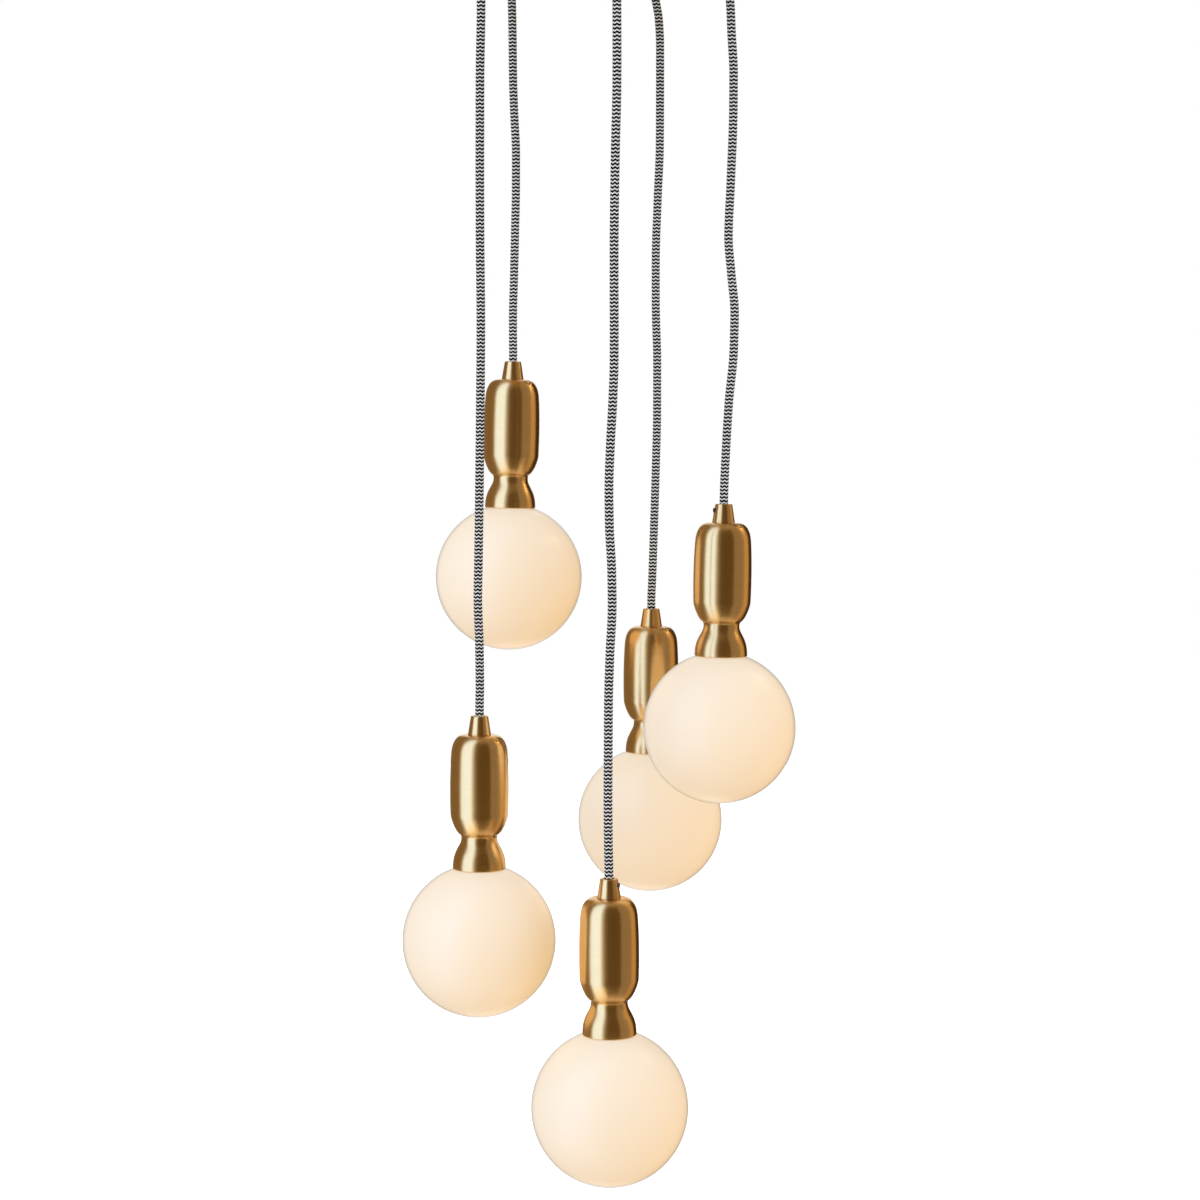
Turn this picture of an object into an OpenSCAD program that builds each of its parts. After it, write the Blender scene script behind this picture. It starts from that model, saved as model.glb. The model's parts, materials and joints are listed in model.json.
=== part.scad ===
// Chandelier of five opal globe bulbs in waisted brass holders, hung on textile cords from one round canopy.
// Millimetres. The origin is the middle of the ceiling bracket's top face, with +Z up, and all hangs below it.
// Pendants 1 to 5 go round the ring from the front towards the right.

/* [Ring of cords] */
// Diameter of the circle on which the five cords hang
ring_d = 210; // [204:1:220]
// Turn of the first cord from straight ahead towards the right, in degrees
ring_turn = 8.3; // [0:0.1:16]
// Diameter of the textile cord
cord_d = 7; // [6:0.1:7.2]
// Fall of cord 1 between its two grips
fall_1 = 728; // [710:1:760]
// Fall of cord 2 between its two grips
fall_2 = 434; // [420:1:460]
// Fall of cord 3 between its two grips
fall_3 = 528; // [515:1:555]
// Fall of cord 4 between its two grips
fall_4 = 316; // [305:1:340]
// Fall of cord 5 between its two grips
fall_5 = 606; // [590:1:635]

/* [Canopy and bracket] */
// Diameter of the canopy
canopy_d = 280; // [270:1:320]
// Height of the canopy
canopy_h = 32; // [30:1:36]
// Thickness of the spun sheet of the canopy
canopy_wall = 1.2; // [0.8:0.1:2]
// Radius of the canopy's lower edge
canopy_bend = 5; // [2:0.5:8]
// Width of the steel bracket
strap_w = 25; // [20:1:30]
// Thickness of the steel bracket
strap_t = 2; // [1.5:0.1:3]
// Length of the bracket's bent-down ears
ear_h = 20; // [18:1:26]
// Distance between the middles of the two ceiling slots
slot_gap = 90; // [80:1:100]
// Length of a ceiling slot from end to end
slot_l = 20; // [10:1:24]
// Width of a ceiling slot
slot_w = 5.2; // [4:0.1:6.5]
// Diameter of the hole for the supply cable
supply_d = 14; // [8:1:16]

/* [Cord grips] */
// Height of the tapered grip
grip_h = 15.5; // [14:0.1:20]
// Diameter of the grip at its base
grip_base_d = 18.7; // [17:0.1:22]
// Diameter of the grip at its mouth
grip_mouth_d = 14.2; // [13:0.1:16]
// Diameter of the grip's threaded stem
stem_d = 9.9; // [9.6:0.1:10.4]
// Diameter of the grip's set screw
set_screw_d = 3.8; // [3:0.1:4.2]
// Distance across the flats of the stem's lock nut
nut_w = 14; // [13:0.5:17]
// Thickness of the lock nut
nut_h = 3.5; // [3:0.1:5]

/* [Brass holder shell] */
// Largest diameter of the barrel
barrel_d = 48; // [47:0.5:54]
// Height of the barrel down to the seam
barrel_h = 65; // [62:1:75]
// Height of the collar from the seam down to the rim
collar_h = 44.1; // [43:0.1:46]
// Diameter of the waist
waist_d = 29.4; // [29.2:0.1:31]
// Diameter of the bell's rim
rim_d = 43.2; // [42:0.1:46]
// Thickness of the brass
brass_wall = 1.2; // [0.8:0.1:1.3]
// Height of the collar's spigot inside the barrel
spigot_h = 5; // [3:0.5:8]

/* [Bulb and lampholder] */
// Diameter of the glass globe
globe_d = 125; // [118:1:128]
// Thickness of the glass
glass_wall = 1.2; // [0.8:0.1:1.6]
// Diameter of the bulb's screw cap over its thread
cap_d = 26.1; // [25.6:0.1:26.3]
// Pitch of the bulb's thread
thread_pitch = 3.629; // [3.4:0.001:3.8]
// Diameter of the lampholder's body
holder_d = 40; // [38:0.5:41]
// Height of the lampholder's body
holder_h = 58; // [56:1:60]

/* [Hidden] */
COUNT = 5;

$fn = 64;

// Clearances
loose = 0.3;    // between curved faces of neighbours
fit = 0.1;      // between a thread or spigot and its hole
seat = 0.45;    // between the bell's rim and the globe
cut = 1;        // how far a cutter runs past a face

// Cords: the free cord starts and ends a little inside the mouth of its grip, where it bends
mouth_inset = 1;
cord_r = cord_d / 2;
bore_r = cord_r + 0.4;
throat_r = cord_r + 0.65;
flare_r = cord_r + 1.15;
cord_sides = 12;
falls = [fall_1, fall_2, fall_3, fall_4, fall_5];
exit_z = -canopy_h - grip_h + mouth_inset;

// Lean of each lamp as its stiff cord holds it, with its foot towards the right, in degrees
leans = [0.5, -0.65, 0, -0.95, 0];
// Where each cord ends, to the right of its own exit
lamp_shifts = [-2.4, 2, 0.3, 2.6, 1.5];
// Where each set screw points, counted from the right towards the back, in degrees
screw_turns = [-14, 194, 100, 80, 100];

// Routes of the free cords between their grips, from each cord's own exit:
// [to the right, to the back, share of its fall in percent]
routes = [
    [
        [0, 0, 2.1], [0.5, 0, 14.2], [-0.5, 0, 22.5], [-1, 0.5, 31.1], [-0.5, 1, 43.7], [-1.5, 0.5, 48.6],
        [-3, 0, 52.7], [-4, 0, 57.5], [-3.5, 0, 61.6], [-1.5, 0.5, 66.4], [-1, 0.5, 70.5], [-2.5, 0, 75.3],
        [-3.5, 0, 81.5], [-3.5, 0, 89.8], [-3, 0, 95.9]
    ],
    [
        [1.2, 0, 2.9], [3.6, 0, 6.3], [5, 0, 12], [7, 0, 20.4], [7, 0, 26.2], [5.5, 1, 39.5], [4, 1, 49.7],
        [6.5, 0.5, 56.6], [9.5, 0, 64.2], [9, 0, 71.1], [5.5, 0, 80.5], [2.8, 0, 93]
    ],
    [
        [1.5, 0, 2.2], [3.5, 0, 4.5], [4.7, 0, 9], [5, 0, 24.5], [3.5, 0.5, 33.2], [2.2, 1, 43], [2.5, 1, 50.5],
        [4, 0.5, 59.4], [4.2, 0, 68], [3.5, 0, 76], [2, 0, 87.8], [0.8, 0, 95.7]
    ],
    [
        [0.8, 0, 3.6], [1.2, 0, 7.5], [1.5, 0, 12], [2, 0, 23.3], [3, 0.5, 32.8], [4.7, 1, 44.5],
        [4.7, 1, 53], [4, 0.5, 66], [3.3, 0, 77.1], [2.5, 0, 88], [2.6, 0, 94.5]
    ],
    [
        [0.5, 0, 2.6], [1.8, 0, 6], [1, 0, 16], [1, 0.5, 26.2], [1.2, 1, 36], [2, 0.8, 48], [1.5, 0, 62],
        [0.5, 0, 78.1], [0, 0, 84.2], [1.3, 0, 90.5], [1.7, 0, 96]
    ]
];

// Heights in the lamp's own frame, which starts where its cord bends and hangs down
shell_top = mouth_inset - grip_h;
seam_z = shell_top - barrel_h;
rim_z = seam_z - collar_h;
barrel_r = barrel_d / 2;
rim_r = rim_d / 2;
globe_r = globe_d / 2;
globe_z = rim_z - sqrt(pow(globe_r, 2) - pow(rim_r - brass_wall, 2)) - seat;

// Profile of the brass, as distances from its largest radius
seam_r = barrel_r - 0.5;
shoulder_in = 11.6;
shoulder_fall = 15;
curve_steps = 8;
stem_hole_r = stem_d / 2 + 0.25;
spigot_r = seam_r - brass_wall - fit;
spigot_wall = 1;

// The bulb's screw cap and the lampholder, as heights above the middle of the globe
cap_r = cap_d / 2;
cap_low = globe_r + 23.5;
skirt_h = 6;
thread_turns = 4;
ridge = 0.45;
cap_sheet = 0.45;
neck_r = cap_r - cap_sheet - 0.1;
neck_top = cap_low + skirt_h - 1;
thread_low = cap_low + skirt_h;
thread_high = thread_low + thread_turns * thread_pitch;
cap_top = thread_high + 4;
tip_r = 5.4;
tip_top = cap_top + 2.6;
shell_min_r = cap_r + loose;
holder_r = holder_d / 2;
socket_r = shell_min_r + 2 * ridge + cap_sheet + loose;
holder_low = cap_low + 8;
ledge = thread_high + 2.5;
floor_z = tip_top + 4.5;
chamber_r = 10.5;
holder_top = holder_low + holder_h;
holder_hole_z = holder_top - 11;
stem_reach = shell_top - globe_z - holder_hole_z - 1;

function bezier(p, n = curve_steps) = [
    for (k = [0:n]) let (t = k / n, s = 1 - t) s*s*s * p[0] + 3*s*s*t * p[1] + 3*s*t*t * p[2] + t*t*t * p[3]
];

function arc(centre, r, from, to, n = 6) = [
    for (k = [0:n]) let (a = from + (to - from) * k / n) centre + r * [cos(a), sin(a)]
];

function reversed(list) = [for (k = [len(list) - 1:-1:0]) list[k]];

function tail(list) = [for (k = [1:len(list) - 1]) list[k]];

function unit(v) = v / norm(v);

// The same curve, moved inwards by a wall when it runs out along the top and down the side
function moved_in(p, wall) = [
    for (k = [0:len(p) - 1])
        let (d = unit(p[min(k + 1, len(p) - 1)] - p[max(k - 1, 0)])) p[k] + wall * [d[1], -d[0]]
];

// Rolled thread, drawn as rings: one ring to each turn
function rings(r, depth, low, turns, per_turn = 6) = [
    for (k = [0:turns * per_turn])
        [r - depth + depth * (1 - cos(360 * k / per_turn)), low + thread_pitch * k / per_turn]
];

function exit_at(i) = [ring_d / 2 * sin(ring_turn + 72 * i), -ring_d / 2 * cos(ring_turn + 72 * i), exit_z];

function pivot_at(i) = exit_at(i) + [lamp_shifts[i], 0, -falls[i]];

module at_lamp(i) {
    translate(pivot_at(i)) rotate([0, -leans[i], 0]) children();
}

module at_globe(i) {
    at_lamp(i) translate([0, 0, globe_z]) children();
}

module at_exits() {
    for (i = [0:COUNT - 1]) translate([exit_at(i)[0], exit_at(i)[1], 0]) children();
}

// A round tube swept along its points, one ring at each, square to the way through it
module swept(points, r, sides) {
    last = len(points) - 1;
    rings = [
        for (k = [0:last])
            let (
                way = unit(points[min(k + 1, last)] - points[max(k - 1, 0)]),
                side = unit(cross([0, 1, 0], way)),
                up = cross(way, side)
            )
            for (a = [0:sides - 1])
                points[k] + r * (cos(360 * a / sides) * side + sin(360 * a / sides) * up)
    ];
    walls = [
        for (k = [0:last - 1]) for (a = [0:sides - 1])
            let (b = (a + 1) % sides, low = k * sides, high = low + sides)
            each [[low + a, high + a, high + b], [low + a, high + b, low + b]]
    ];
    foot_face = [for (a = [sides - 1:-1:0]) last * sides + a];
    polyhedron(rings, concat([[for (a = [0:sides - 1]) a]], walls, [foot_face]));
}

module cord(i) {
    first = exit_at(i);
    end = pivot_at(i);
    way = [sin(leans[i]), 0, -cos(leans[i])];
    middle = [for (p = routes[i]) first + [p[0], p[1], -falls[i] * p[2] / 100]];
    color("dimgray") swept(
        concat([first, first - [0, 0, mouth_inset + 2]], middle, [end - way * (mouth_inset + 8), end]),
        cord_r,
        cord_sides
    );
}

// Tapered grip, with its base at zero, its mouth up and its threaded stem down
module grip(stem, turn) {
    mouth_r = grip_mouth_d / 2;
    edge = 1;
    screw_z = grip_h - 5.3;
    difference() {
        rotate_extrude() polygon(concat(
            [[bore_r, -stem], [stem_d / 2, -stem], [stem_d / 2, 0], [grip_base_d / 2, 0], [grip_base_d / 2, 0.6]],
            arc([mouth_r - edge, grip_h - edge], edge, 0, 90),
            [[flare_r, grip_h], [throat_r, grip_h - mouth_inset], [bore_r, grip_h - mouth_inset - 2.6]]
        ));
        rotate([0, 0, turn]) translate([0, 0, screw_z]) rotate([0, 90, 0])
            cylinder(d = set_screw_d + 2 * loose, h = grip_base_d / 2);
    }
}

// Grub screw across the grip, with a hexagon socket in its outer end
module grip_screw(turn) {
    tip = cord_r + fit;
    out = grip_mouth_d / 2 + 1.5;
    rotate([0, 0, turn]) translate([0, 0, grip_h - 5.3]) rotate([0, 90, 0]) difference() {
        translate([0, 0, tip]) cylinder(d = set_screw_d, h = out - tip);
        translate([0, 0, out - 1.6]) cylinder(d = set_screw_d * 0.55, h = 1.6 + cut, $fn = 6);
    }
}

module nut() {
    difference() {
        cylinder(d = nut_w / cos(30), h = nut_h, $fn = 6);
        translate([0, 0, -cut]) cylinder(d = stem_d + 2 * fit, h = nut_h + 2 * cut);
    }
}

module cord_grip(i) {
    color("goldenrod") at_lamp(i) translate([0, 0, shell_top]) grip(stem_reach, screw_turns[i]);
}

module grip_fasteners(i) {
    color("dimgray") at_lamp(i) translate([0, 0, shell_top]) {
        grip_screw(screw_turns[i]);
        translate([0, 0, -brass_wall - nut_h]) nut();
    }
}

// Upper part of the shell: a barrel with a round shoulder, open at the seam below
module barrel(i) {
    shoulder = bezier([
        [barrel_r - shoulder_in, 0], [barrel_r - 5.3, 0], [barrel_r - 1.75, -5.9], [barrel_r - 1.05, -shoulder_fall]
    ]);
    side = bezier([
        [barrel_r - 1.05, -shoulder_fall], [barrel_r - 0.15, -barrel_h * 0.415],
        [barrel_r + 0.2, -barrel_h * 0.73], [seam_r, -barrel_h]
    ]);
    outer = concat(shoulder, tail(side));
    inner = moved_in(outer, brass_wall);
    color("goldenrod") at_lamp(i) translate([0, 0, shell_top]) rotate_extrude() polygon(concat(
        [[stem_hole_r, 0]], outer, [[seam_r - brass_wall, -barrel_h]],
        tail(reversed(inner)), [[stem_hole_r, -brass_wall]]
    ));
}

// Lower part of the shell: the barrel's underside, the waist and the bell over the bulb's neck
module collar(i) {
    waist_r = waist_d / 2;
    waist_z = 24.6 - collar_h;
    hollow_start = [waist_r + 1.5, waist_z + 3.5];
    foot = [waist_r + 2.1, waist_z - 6.4];
    under = bezier([[seam_r, 0], [seam_r - 0.15, 0.15 * waist_z], hollow_start + [4, 3.1], hollow_start]);
    hollow = bezier([hollow_start, hollow_start - [1.1, 0.85], [waist_r, waist_z + 1.8], [waist_r, waist_z]]);
    flare = bezier([[waist_r, waist_z], [waist_r, waist_z - 2.2], foot + [-1.3, 2.4], foot]);
    bell = bezier([foot, foot + [2.2, -4.1], [rim_r + 0.1, waist_z - 15], [rim_r, -collar_h]]);
    outer = concat(under, tail(hollow), tail(flare), tail(bell));
    lining = moved_in(outer, brass_wall);
    spigot_in = spigot_r - spigot_wall;
    inner = [for (k = [1:len(lining) - 2]) if (lining[k][0] < spigot_in) lining[k]];
    color("goldenrod") at_lamp(i) translate([0, 0, seam_z]) rotate_extrude() polygon(concat(
        outer, [[rim_r - brass_wall, -collar_h]], reversed(inner),
        [[spigot_in, spigot_h], [spigot_r, spigot_h], [spigot_r, 0]]
    ));
}

// Insulating body of the lampholder, screwed up on the grip's stem
module lampholder(i) {
    nose_r = min(holder_r - 2.5, 17);
    color("white") at_globe(i) difference() {
        rotate_extrude() polygon([
            [0, holder_low], [nose_r, holder_low], [nose_r, holder_low + 5], [holder_r, holder_low + 6.5],
            [holder_r, holder_top - 15], [holder_r - 1.5, holder_top - 13], [9, holder_top - 4], [9, holder_top],
            [0, holder_top]
        ]);
        translate([0, 0, holder_low - cut]) cylinder(r = socket_r, h = ledge - holder_low + cut);
        translate([0, 0, ledge - cut]) cylinder(r = chamber_r, h = floor_z - ledge + cut);
        translate([0, 0, holder_hole_z]) cylinder(d = stem_d + 2 * fit, h = holder_top - holder_hole_z + cut);
        for (x = [-3.2, 3.2]) translate([x, 0, floor_z - cut])
            cylinder(r = 1.2, h = holder_hole_z - floor_z + 2 * cut);
    }
}

// The lampholder's rolled screw shell, and its centre contact on a rivet
module holder_contacts(i) {
    low = holder_low + 0.6;
    turns = floor((ledge - low) / thread_pitch);
    thread = rings(shell_min_r + ridge, ridge, low + 0.5, turns);
    leaf_z = tip_top + 0.2;
    leaf_t = 0.5;
    color("gold") at_globe(i) {
        rotate_extrude() polygon(concat(
            [[shell_min_r, low]], thread, [[shell_min_r, ledge]],
            [[shell_min_r + cap_sheet, ledge]],
            [for (p = reversed(thread)) p + [cap_sheet, 0]],
            [[shell_min_r + cap_sheet, low]]
        ));
        translate([0, 0, leaf_z + leaf_t / 2]) cube([15, 5, leaf_t], center = true);
        translate([0, 0, leaf_z + leaf_t / 2]) cylinder(r = 1.6, h = floor_z - leaf_z - leaf_t / 2);
    }
}

// Metal screw cap of the bulb
module bulb_cap(i) {
    thread = rings(cap_r - ridge, ridge, thread_low, thread_turns);
    hole_r = tip_r + loose;
    color("silver") at_globe(i) rotate_extrude() polygon(concat(
        [[cap_r, cap_low], [cap_r, thread_low - 0.6], [cap_r - 2 * ridge, thread_low - 0.1]],
        tail(thread),
        [[cap_r - 1.6, thread_high + 0.8], [hole_r + 2, cap_top], [hole_r, cap_top], [hole_r, cap_top - 1]],
        [[hole_r + 1.4, cap_top - 1], [neck_r - 1.2, thread_high - 0.4], [neck_r - 1.2, neck_top + 0.4]],
        [[neck_r + 0.1, neck_top + 0.4], [neck_r + 0.1, cap_low]]
    ));
}

// Core of the bulb on its axis: centre contact, insulating plug and light engine
module bulb_core(i) {
    engine_r = 9.5;
    engine_low = 28;
    engine_high = 62;
    pillar_r = 8;
    plug_r = neck_r - 2;
    color("whitesmoke") at_globe(i) rotate_extrude() polygon(concat(
        arc([0, engine_low + engine_r], engine_r, -90, 0),
        [[engine_r, engine_high], [pillar_r, engine_high + 2], [pillar_r, neck_top + 1], [plug_r, neck_top + 1]],
        [[plug_r, thread_high - 2], [tip_r, cap_top - 3], [tip_r, tip_top - 1], [tip_r - 1.2, tip_top], [0, tip_top]]
    ));
}

// Opal glass: a sphere with a neck that ends inside the cap
module globe(i) {
    root_r = 20;
    root_z = sqrt(pow(globe_r, 2) - pow(root_r, 2));
    slope = [-root_z, root_r] / globe_r;
    sunk = 0.1;
    start = [root_r, root_z - sunk];
    blend_top = root_z + 10.5;
    blend = bezier([start, start + 4.6 * slope, [neck_r + 0.9, root_z + 4.5], [neck_r + 0.7, blend_top]]);
    lining = moved_in(blend, -glass_wall);
    bore = neck_r - glass_wall;
    color("linen") at_globe(i) difference() {
        union() {
            sphere(r = globe_r);
            rotate_extrude() polygon(concat(
                [[0, globe_r / 2], [root_r - 1, globe_r / 2]], blend,
                [[neck_r, blend_top + 9], [neck_r, neck_top], [0, neck_top]]
            ));
        }
        sphere(r = globe_r - glass_wall);
        rotate_extrude() polygon(concat(
            [[0, globe_r / 2], [lining[0][0] - 1, globe_r / 2]], lining,
            [[bore, blend_top + 9], [bore, neck_top + cut], [0, neck_top + cut]]
        ));
    }
}

side_screw_z = -12;
ear_x = canopy_d / 2 - canopy_wall - 1.3;
terminal_x = 10;
terminal_size = [24, 26, 16.5];
terminal_shift = [terminal_x + terminal_size[0] / 2, 0, -strap_t - terminal_size[2] / 2];
earth_x = -30;
screw_hole_r = 2.05;
shank_r = 1.95;

// Steel strap with two bent ears for the canopy's side screws
module ceiling_bracket() {
    slot_r = slot_w / 2;
    color("silver") difference() {
        union() {
            translate([-ear_x, -strap_w / 2, -strap_t]) cube([2 * ear_x, strap_w, strap_t]);
            for (x = [-ear_x, ear_x - strap_t]) translate([x, -strap_w / 2, -ear_h]) cube([strap_t, strap_w, ear_h]);
        }
        translate([0, 0, -strap_t - cut]) cylinder(d = supply_d, h = strap_t + 2 * cut);
        translate([earth_x, 0, -strap_t - cut]) cylinder(r = screw_hole_r, h = strap_t + 2 * cut);
        for (s = [-1, 1]) translate([s * slot_gap / 2, 0, -strap_t - cut]) {
            for (e = [-1, 1]) translate([e * (slot_l / 2 - slot_r), 0, 0]) cylinder(r = slot_r, h = strap_t + 2 * cut);
            translate([slot_r - slot_l / 2, -slot_r, 0]) cube([slot_l - slot_w, slot_w, strap_t + 2 * cut]);
        }
        translate([-ear_x - cut, 0, side_screw_z]) rotate([0, 90, 0])
            cylinder(r = screw_hole_r, h = 2 * ear_x + 2 * cut);
    }
}

// Spun brass canopy, open towards the ceiling
module canopy_cover() {
    r = canopy_d / 2;
    w = canopy_wall;
    color("goldenrod") difference() {
        rotate_extrude() polygon(concat(
            [[0, -canopy_h]],
            arc([r - canopy_bend, canopy_bend - canopy_h], canopy_bend, -90, 0),
            [[r, 0], [r - w, 0]],
            arc([r - canopy_bend, canopy_bend - canopy_h], canopy_bend - w, 0, -90),
            [[0, w - canopy_h]]
        ));
        at_exits() translate([0, 0, -canopy_h - cut]) cylinder(r = stem_hole_r, h = w + 2 * cut);
        for (s = [0, 180]) rotate([0, 0, s]) translate([r - w - 3, 0, side_screw_z]) rotate([0, 90, 0])
            cylinder(r = screw_hole_r + 0.2, h = w + 3 + cut);
    }
}

// Slotted thumb screws through the canopy's side into the bracket's ears
module canopy_screws() {
    r = canopy_d / 2;
    head_h = 6;
    head_r = 4.5;
    color("goldenrod") for (s = [0, 180]) rotate([0, 0, s]) translate([0, 0, side_screw_z]) rotate([0, 90, 0])
        difference() {
            rotate_extrude() polygon([
                [0, ear_x - strap_t - 3], [shank_r, ear_x - strap_t - 3], [shank_r, r + 0.05], [head_r, r + 0.05],
                [head_r, r + head_h - 0.8], [head_r - 0.8, r + head_h], [0, r + head_h]
            ]);
            translate([-0.5, -head_r - cut, r + head_h - 1.5]) cube([1, 2 * head_r + 2 * cut, 1.5 + cut]);
        }
}

canopy_stem = canopy_wall + nut_h + 3;

module canopy_grips() {
    color("goldenrod") at_exits() translate([0, 0, -canopy_h]) mirror([0, 0, 1]) grip(canopy_stem, 90);
}

module canopy_grip_screws() {
    color("dimgray") at_exits() translate([0, 0, -canopy_h]) mirror([0, 0, 1]) grip_screw(90);
}

module canopy_nuts() {
    color("silver") at_exits() translate([0, 0, canopy_wall - canopy_h]) nut();
}

terminal_hole_r = 2.2;
terminal_hole_depth = 5;

module terminal_places() {
    for (x = [-7, 0, 7]) for (y = [-7, 7])
        translate([terminal_shift[0] + x, y, -strap_t - terminal_size[2]]) children();
}

module terminal_block() {
    color("white") difference() {
        translate(terminal_shift) cube(terminal_size, center = true);
        terminal_places() translate([0, 0, -cut]) cylinder(r = terminal_hole_r, h = terminal_hole_depth + cut);
    }
}

module terminal_screws() {
    color("gold") terminal_places() difference() {
        translate([0, 0, 1]) cylinder(r = terminal_hole_r - loose, h = terminal_hole_depth - 1);
        translate([-0.35, -terminal_hole_r, 0]) cube([0.7, 2 * terminal_hole_r, 1.8]);
    }
}

// Earth screw under the bracket, with a slotted pan head
module earth_screw() {
    head_r = 4;
    head_h = 2.5;
    color("silver") translate([earth_x, 0, -strap_t]) difference() {
        union() {
            translate([0, 0, -head_h]) cylinder(r = head_r, h = head_h);
            translate([0, 0, -head_h / 2]) cylinder(r = shank_r, h = head_h / 2 + strap_t - loose);
        }
        translate([-0.5, -head_r - cut, -head_h - cut]) cube([1, 2 * head_r + 2 * cut, 1 + cut]);
    }
}

// Where the tail of each cord meets the terminal block: [right, back]
tail_ends = [[17, -13], [34, -2], [27, 13], [10, 6], [10, -6]];

// Tails of the cords inside the canopy: up through the grip, round an elbow and across to the terminal block
module cord_tails() {
    elbow = 9;
    low = exit_z + 1.9;
    run_z = -14;
    color("dimgray") difference() {
        for (i = [0:COUNT - 1]) {
            from = exit_at(i);
            way = [tail_ends[i][0] - from[0], tail_ends[i][1] - from[1]];
            translate([from[0], from[1], 0]) rotate([0, 0, atan2(way[1], way[0])]) {
                translate([0, 0, low]) cylinder(r = cord_r, h = run_z - elbow - low);
                translate([elbow, 0, run_z - elbow]) rotate([90, 0, 0]) rotate([0, 0, 90])
                    rotate_extrude(angle = 90) translate([elbow, 0]) circle(r = cord_r);
                translate([elbow, 0, run_z]) rotate([0, 90, 0]) cylinder(r = cord_r, h = norm(way) - elbow + 5);
            }
        }
        translate(terminal_shift) cube(terminal_size + [0, 0, 10], center = true);
    }
}

ceiling_bracket();
canopy_cover();
canopy_screws();
canopy_grips();
canopy_grip_screws();
canopy_nuts();
terminal_block();
terminal_screws();
earth_screw();
cord_tails();

for (i = [0:COUNT - 1]) {
    cord(i);
    cord_grip(i);
    grip_fasteners(i);
    barrel(i);
    collar(i);
    lampholder(i);
    holder_contacts(i);
    bulb_cap(i);
    bulb_core(i);
    globe(i);
}
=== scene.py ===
"""Looks of a chandelier with five opal globes in turned brass holders, hung from a round canopy on textile cords.

All sizes are in metres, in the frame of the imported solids: the origin is on the ceiling, +Z is up.
"""

from __future__ import annotations

import json
import logging
import math
from dataclasses import dataclass
from enum import Enum
from typing import Any, Iterable, Sequence

import bpy
import numpy as np
from mathutils import Matrix, Vector

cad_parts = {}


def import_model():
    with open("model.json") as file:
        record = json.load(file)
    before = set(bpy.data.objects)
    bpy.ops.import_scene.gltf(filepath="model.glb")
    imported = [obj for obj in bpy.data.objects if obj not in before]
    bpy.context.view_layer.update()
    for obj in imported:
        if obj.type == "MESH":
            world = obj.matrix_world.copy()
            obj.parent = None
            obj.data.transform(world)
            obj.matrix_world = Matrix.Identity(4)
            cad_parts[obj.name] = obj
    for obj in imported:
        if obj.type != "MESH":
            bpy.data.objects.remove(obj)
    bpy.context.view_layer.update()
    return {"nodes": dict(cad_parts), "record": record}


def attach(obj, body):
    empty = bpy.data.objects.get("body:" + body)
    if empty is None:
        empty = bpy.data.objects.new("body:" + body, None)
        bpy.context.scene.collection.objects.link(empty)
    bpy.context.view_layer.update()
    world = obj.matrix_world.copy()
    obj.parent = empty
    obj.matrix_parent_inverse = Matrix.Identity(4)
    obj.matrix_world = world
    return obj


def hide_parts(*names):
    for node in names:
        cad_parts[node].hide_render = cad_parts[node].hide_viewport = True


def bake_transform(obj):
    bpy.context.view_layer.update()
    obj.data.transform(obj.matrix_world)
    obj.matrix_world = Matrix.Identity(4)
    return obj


LOG = logging.getLogger("globe_chandelier")

Pair = tuple[float, float]
Triple = tuple[float, float, float]

# Height of a globe's middle in its lamp's own frame
GLOBE_CENTRE = -0.183124
# Points of a turned piece that are closer than this are one
WELD = 4e-6
# Edges of a turned piece and of a cord that bend more than this stay sharp
TURNED_CREASE = math.radians(35)
CORD_CREASE = math.radians(40)
WHITE = (1.0, 1.0, 1.0, 1.0)


class Slot(Enum):
    """Material slots of the record that the new pieces belong to."""

    BRASS = "brass"
    OPAL_GLASS = "opal_glass"
    CORD_TEXTILE = "cord_textile"


class Mark(Enum):
    """Names of the attributes that patterns follow."""

    TURNED = "turned"
    GROOVE = "groove"
    WRAP = "wrap"


def bezier(a: Pair, b: Pair, c: Pair, d: Pair, steps: int) -> list[Pair]:
    """Points on a cubic curve.

    Args:
        a: start.
        b: first handle.
        c: second handle.
        d: end.
        steps: how many pieces the curve is cut into.

    Returns:
        The points from start to end, both included.
    """
    points = []
    for k in range(steps + 1):
        t = k / steps
        s = 1 - t
        points.append(tuple(
            s**3 * a[n] + 3 * s * s * t * b[n] + 3 * s * t * t * c[n] + t**3 * d[n] for n in (0, 1)
        ))
    return points


def arc(centre: Pair, radius: float, start: float, end: float, steps: int) -> list[Pair]:
    """Points on an arc.

    Args:
        centre: middle of the arc.
        radius: its radius.
        start: first angle in degrees, from the right and counter-clockwise.
        end: last angle in degrees.
        steps: how many pieces the arc is cut into.

    Returns:
        The points from start to end, both included.
    """
    angles = [math.radians(start + (end - start) * k / steps) for k in range(steps + 1)]
    return [(centre[0] + radius * math.cos(a), centre[1] + radius * math.sin(a)) for a in angles]


def moved_in(curve: Sequence[Pair], wall: float) -> list[Pair]:
    """A curve moved sideways by a wall.

    Args:
        curve: points that run outwards and down over a turned piece.
        wall: how far towards the inside.

    Returns:
        The moved points in the same order.
    """
    moved = []
    last = len(curve) - 1
    for k, point in enumerate(curve):
        before, after = curve[max(k - 1, 0)], curve[min(k + 1, last)]
        way = Vector((after[0] - before[0], after[1] - before[1])).normalized()
        moved.append((point[0] + wall * way[1], point[1] - wall * way[0]))
    return moved


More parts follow.
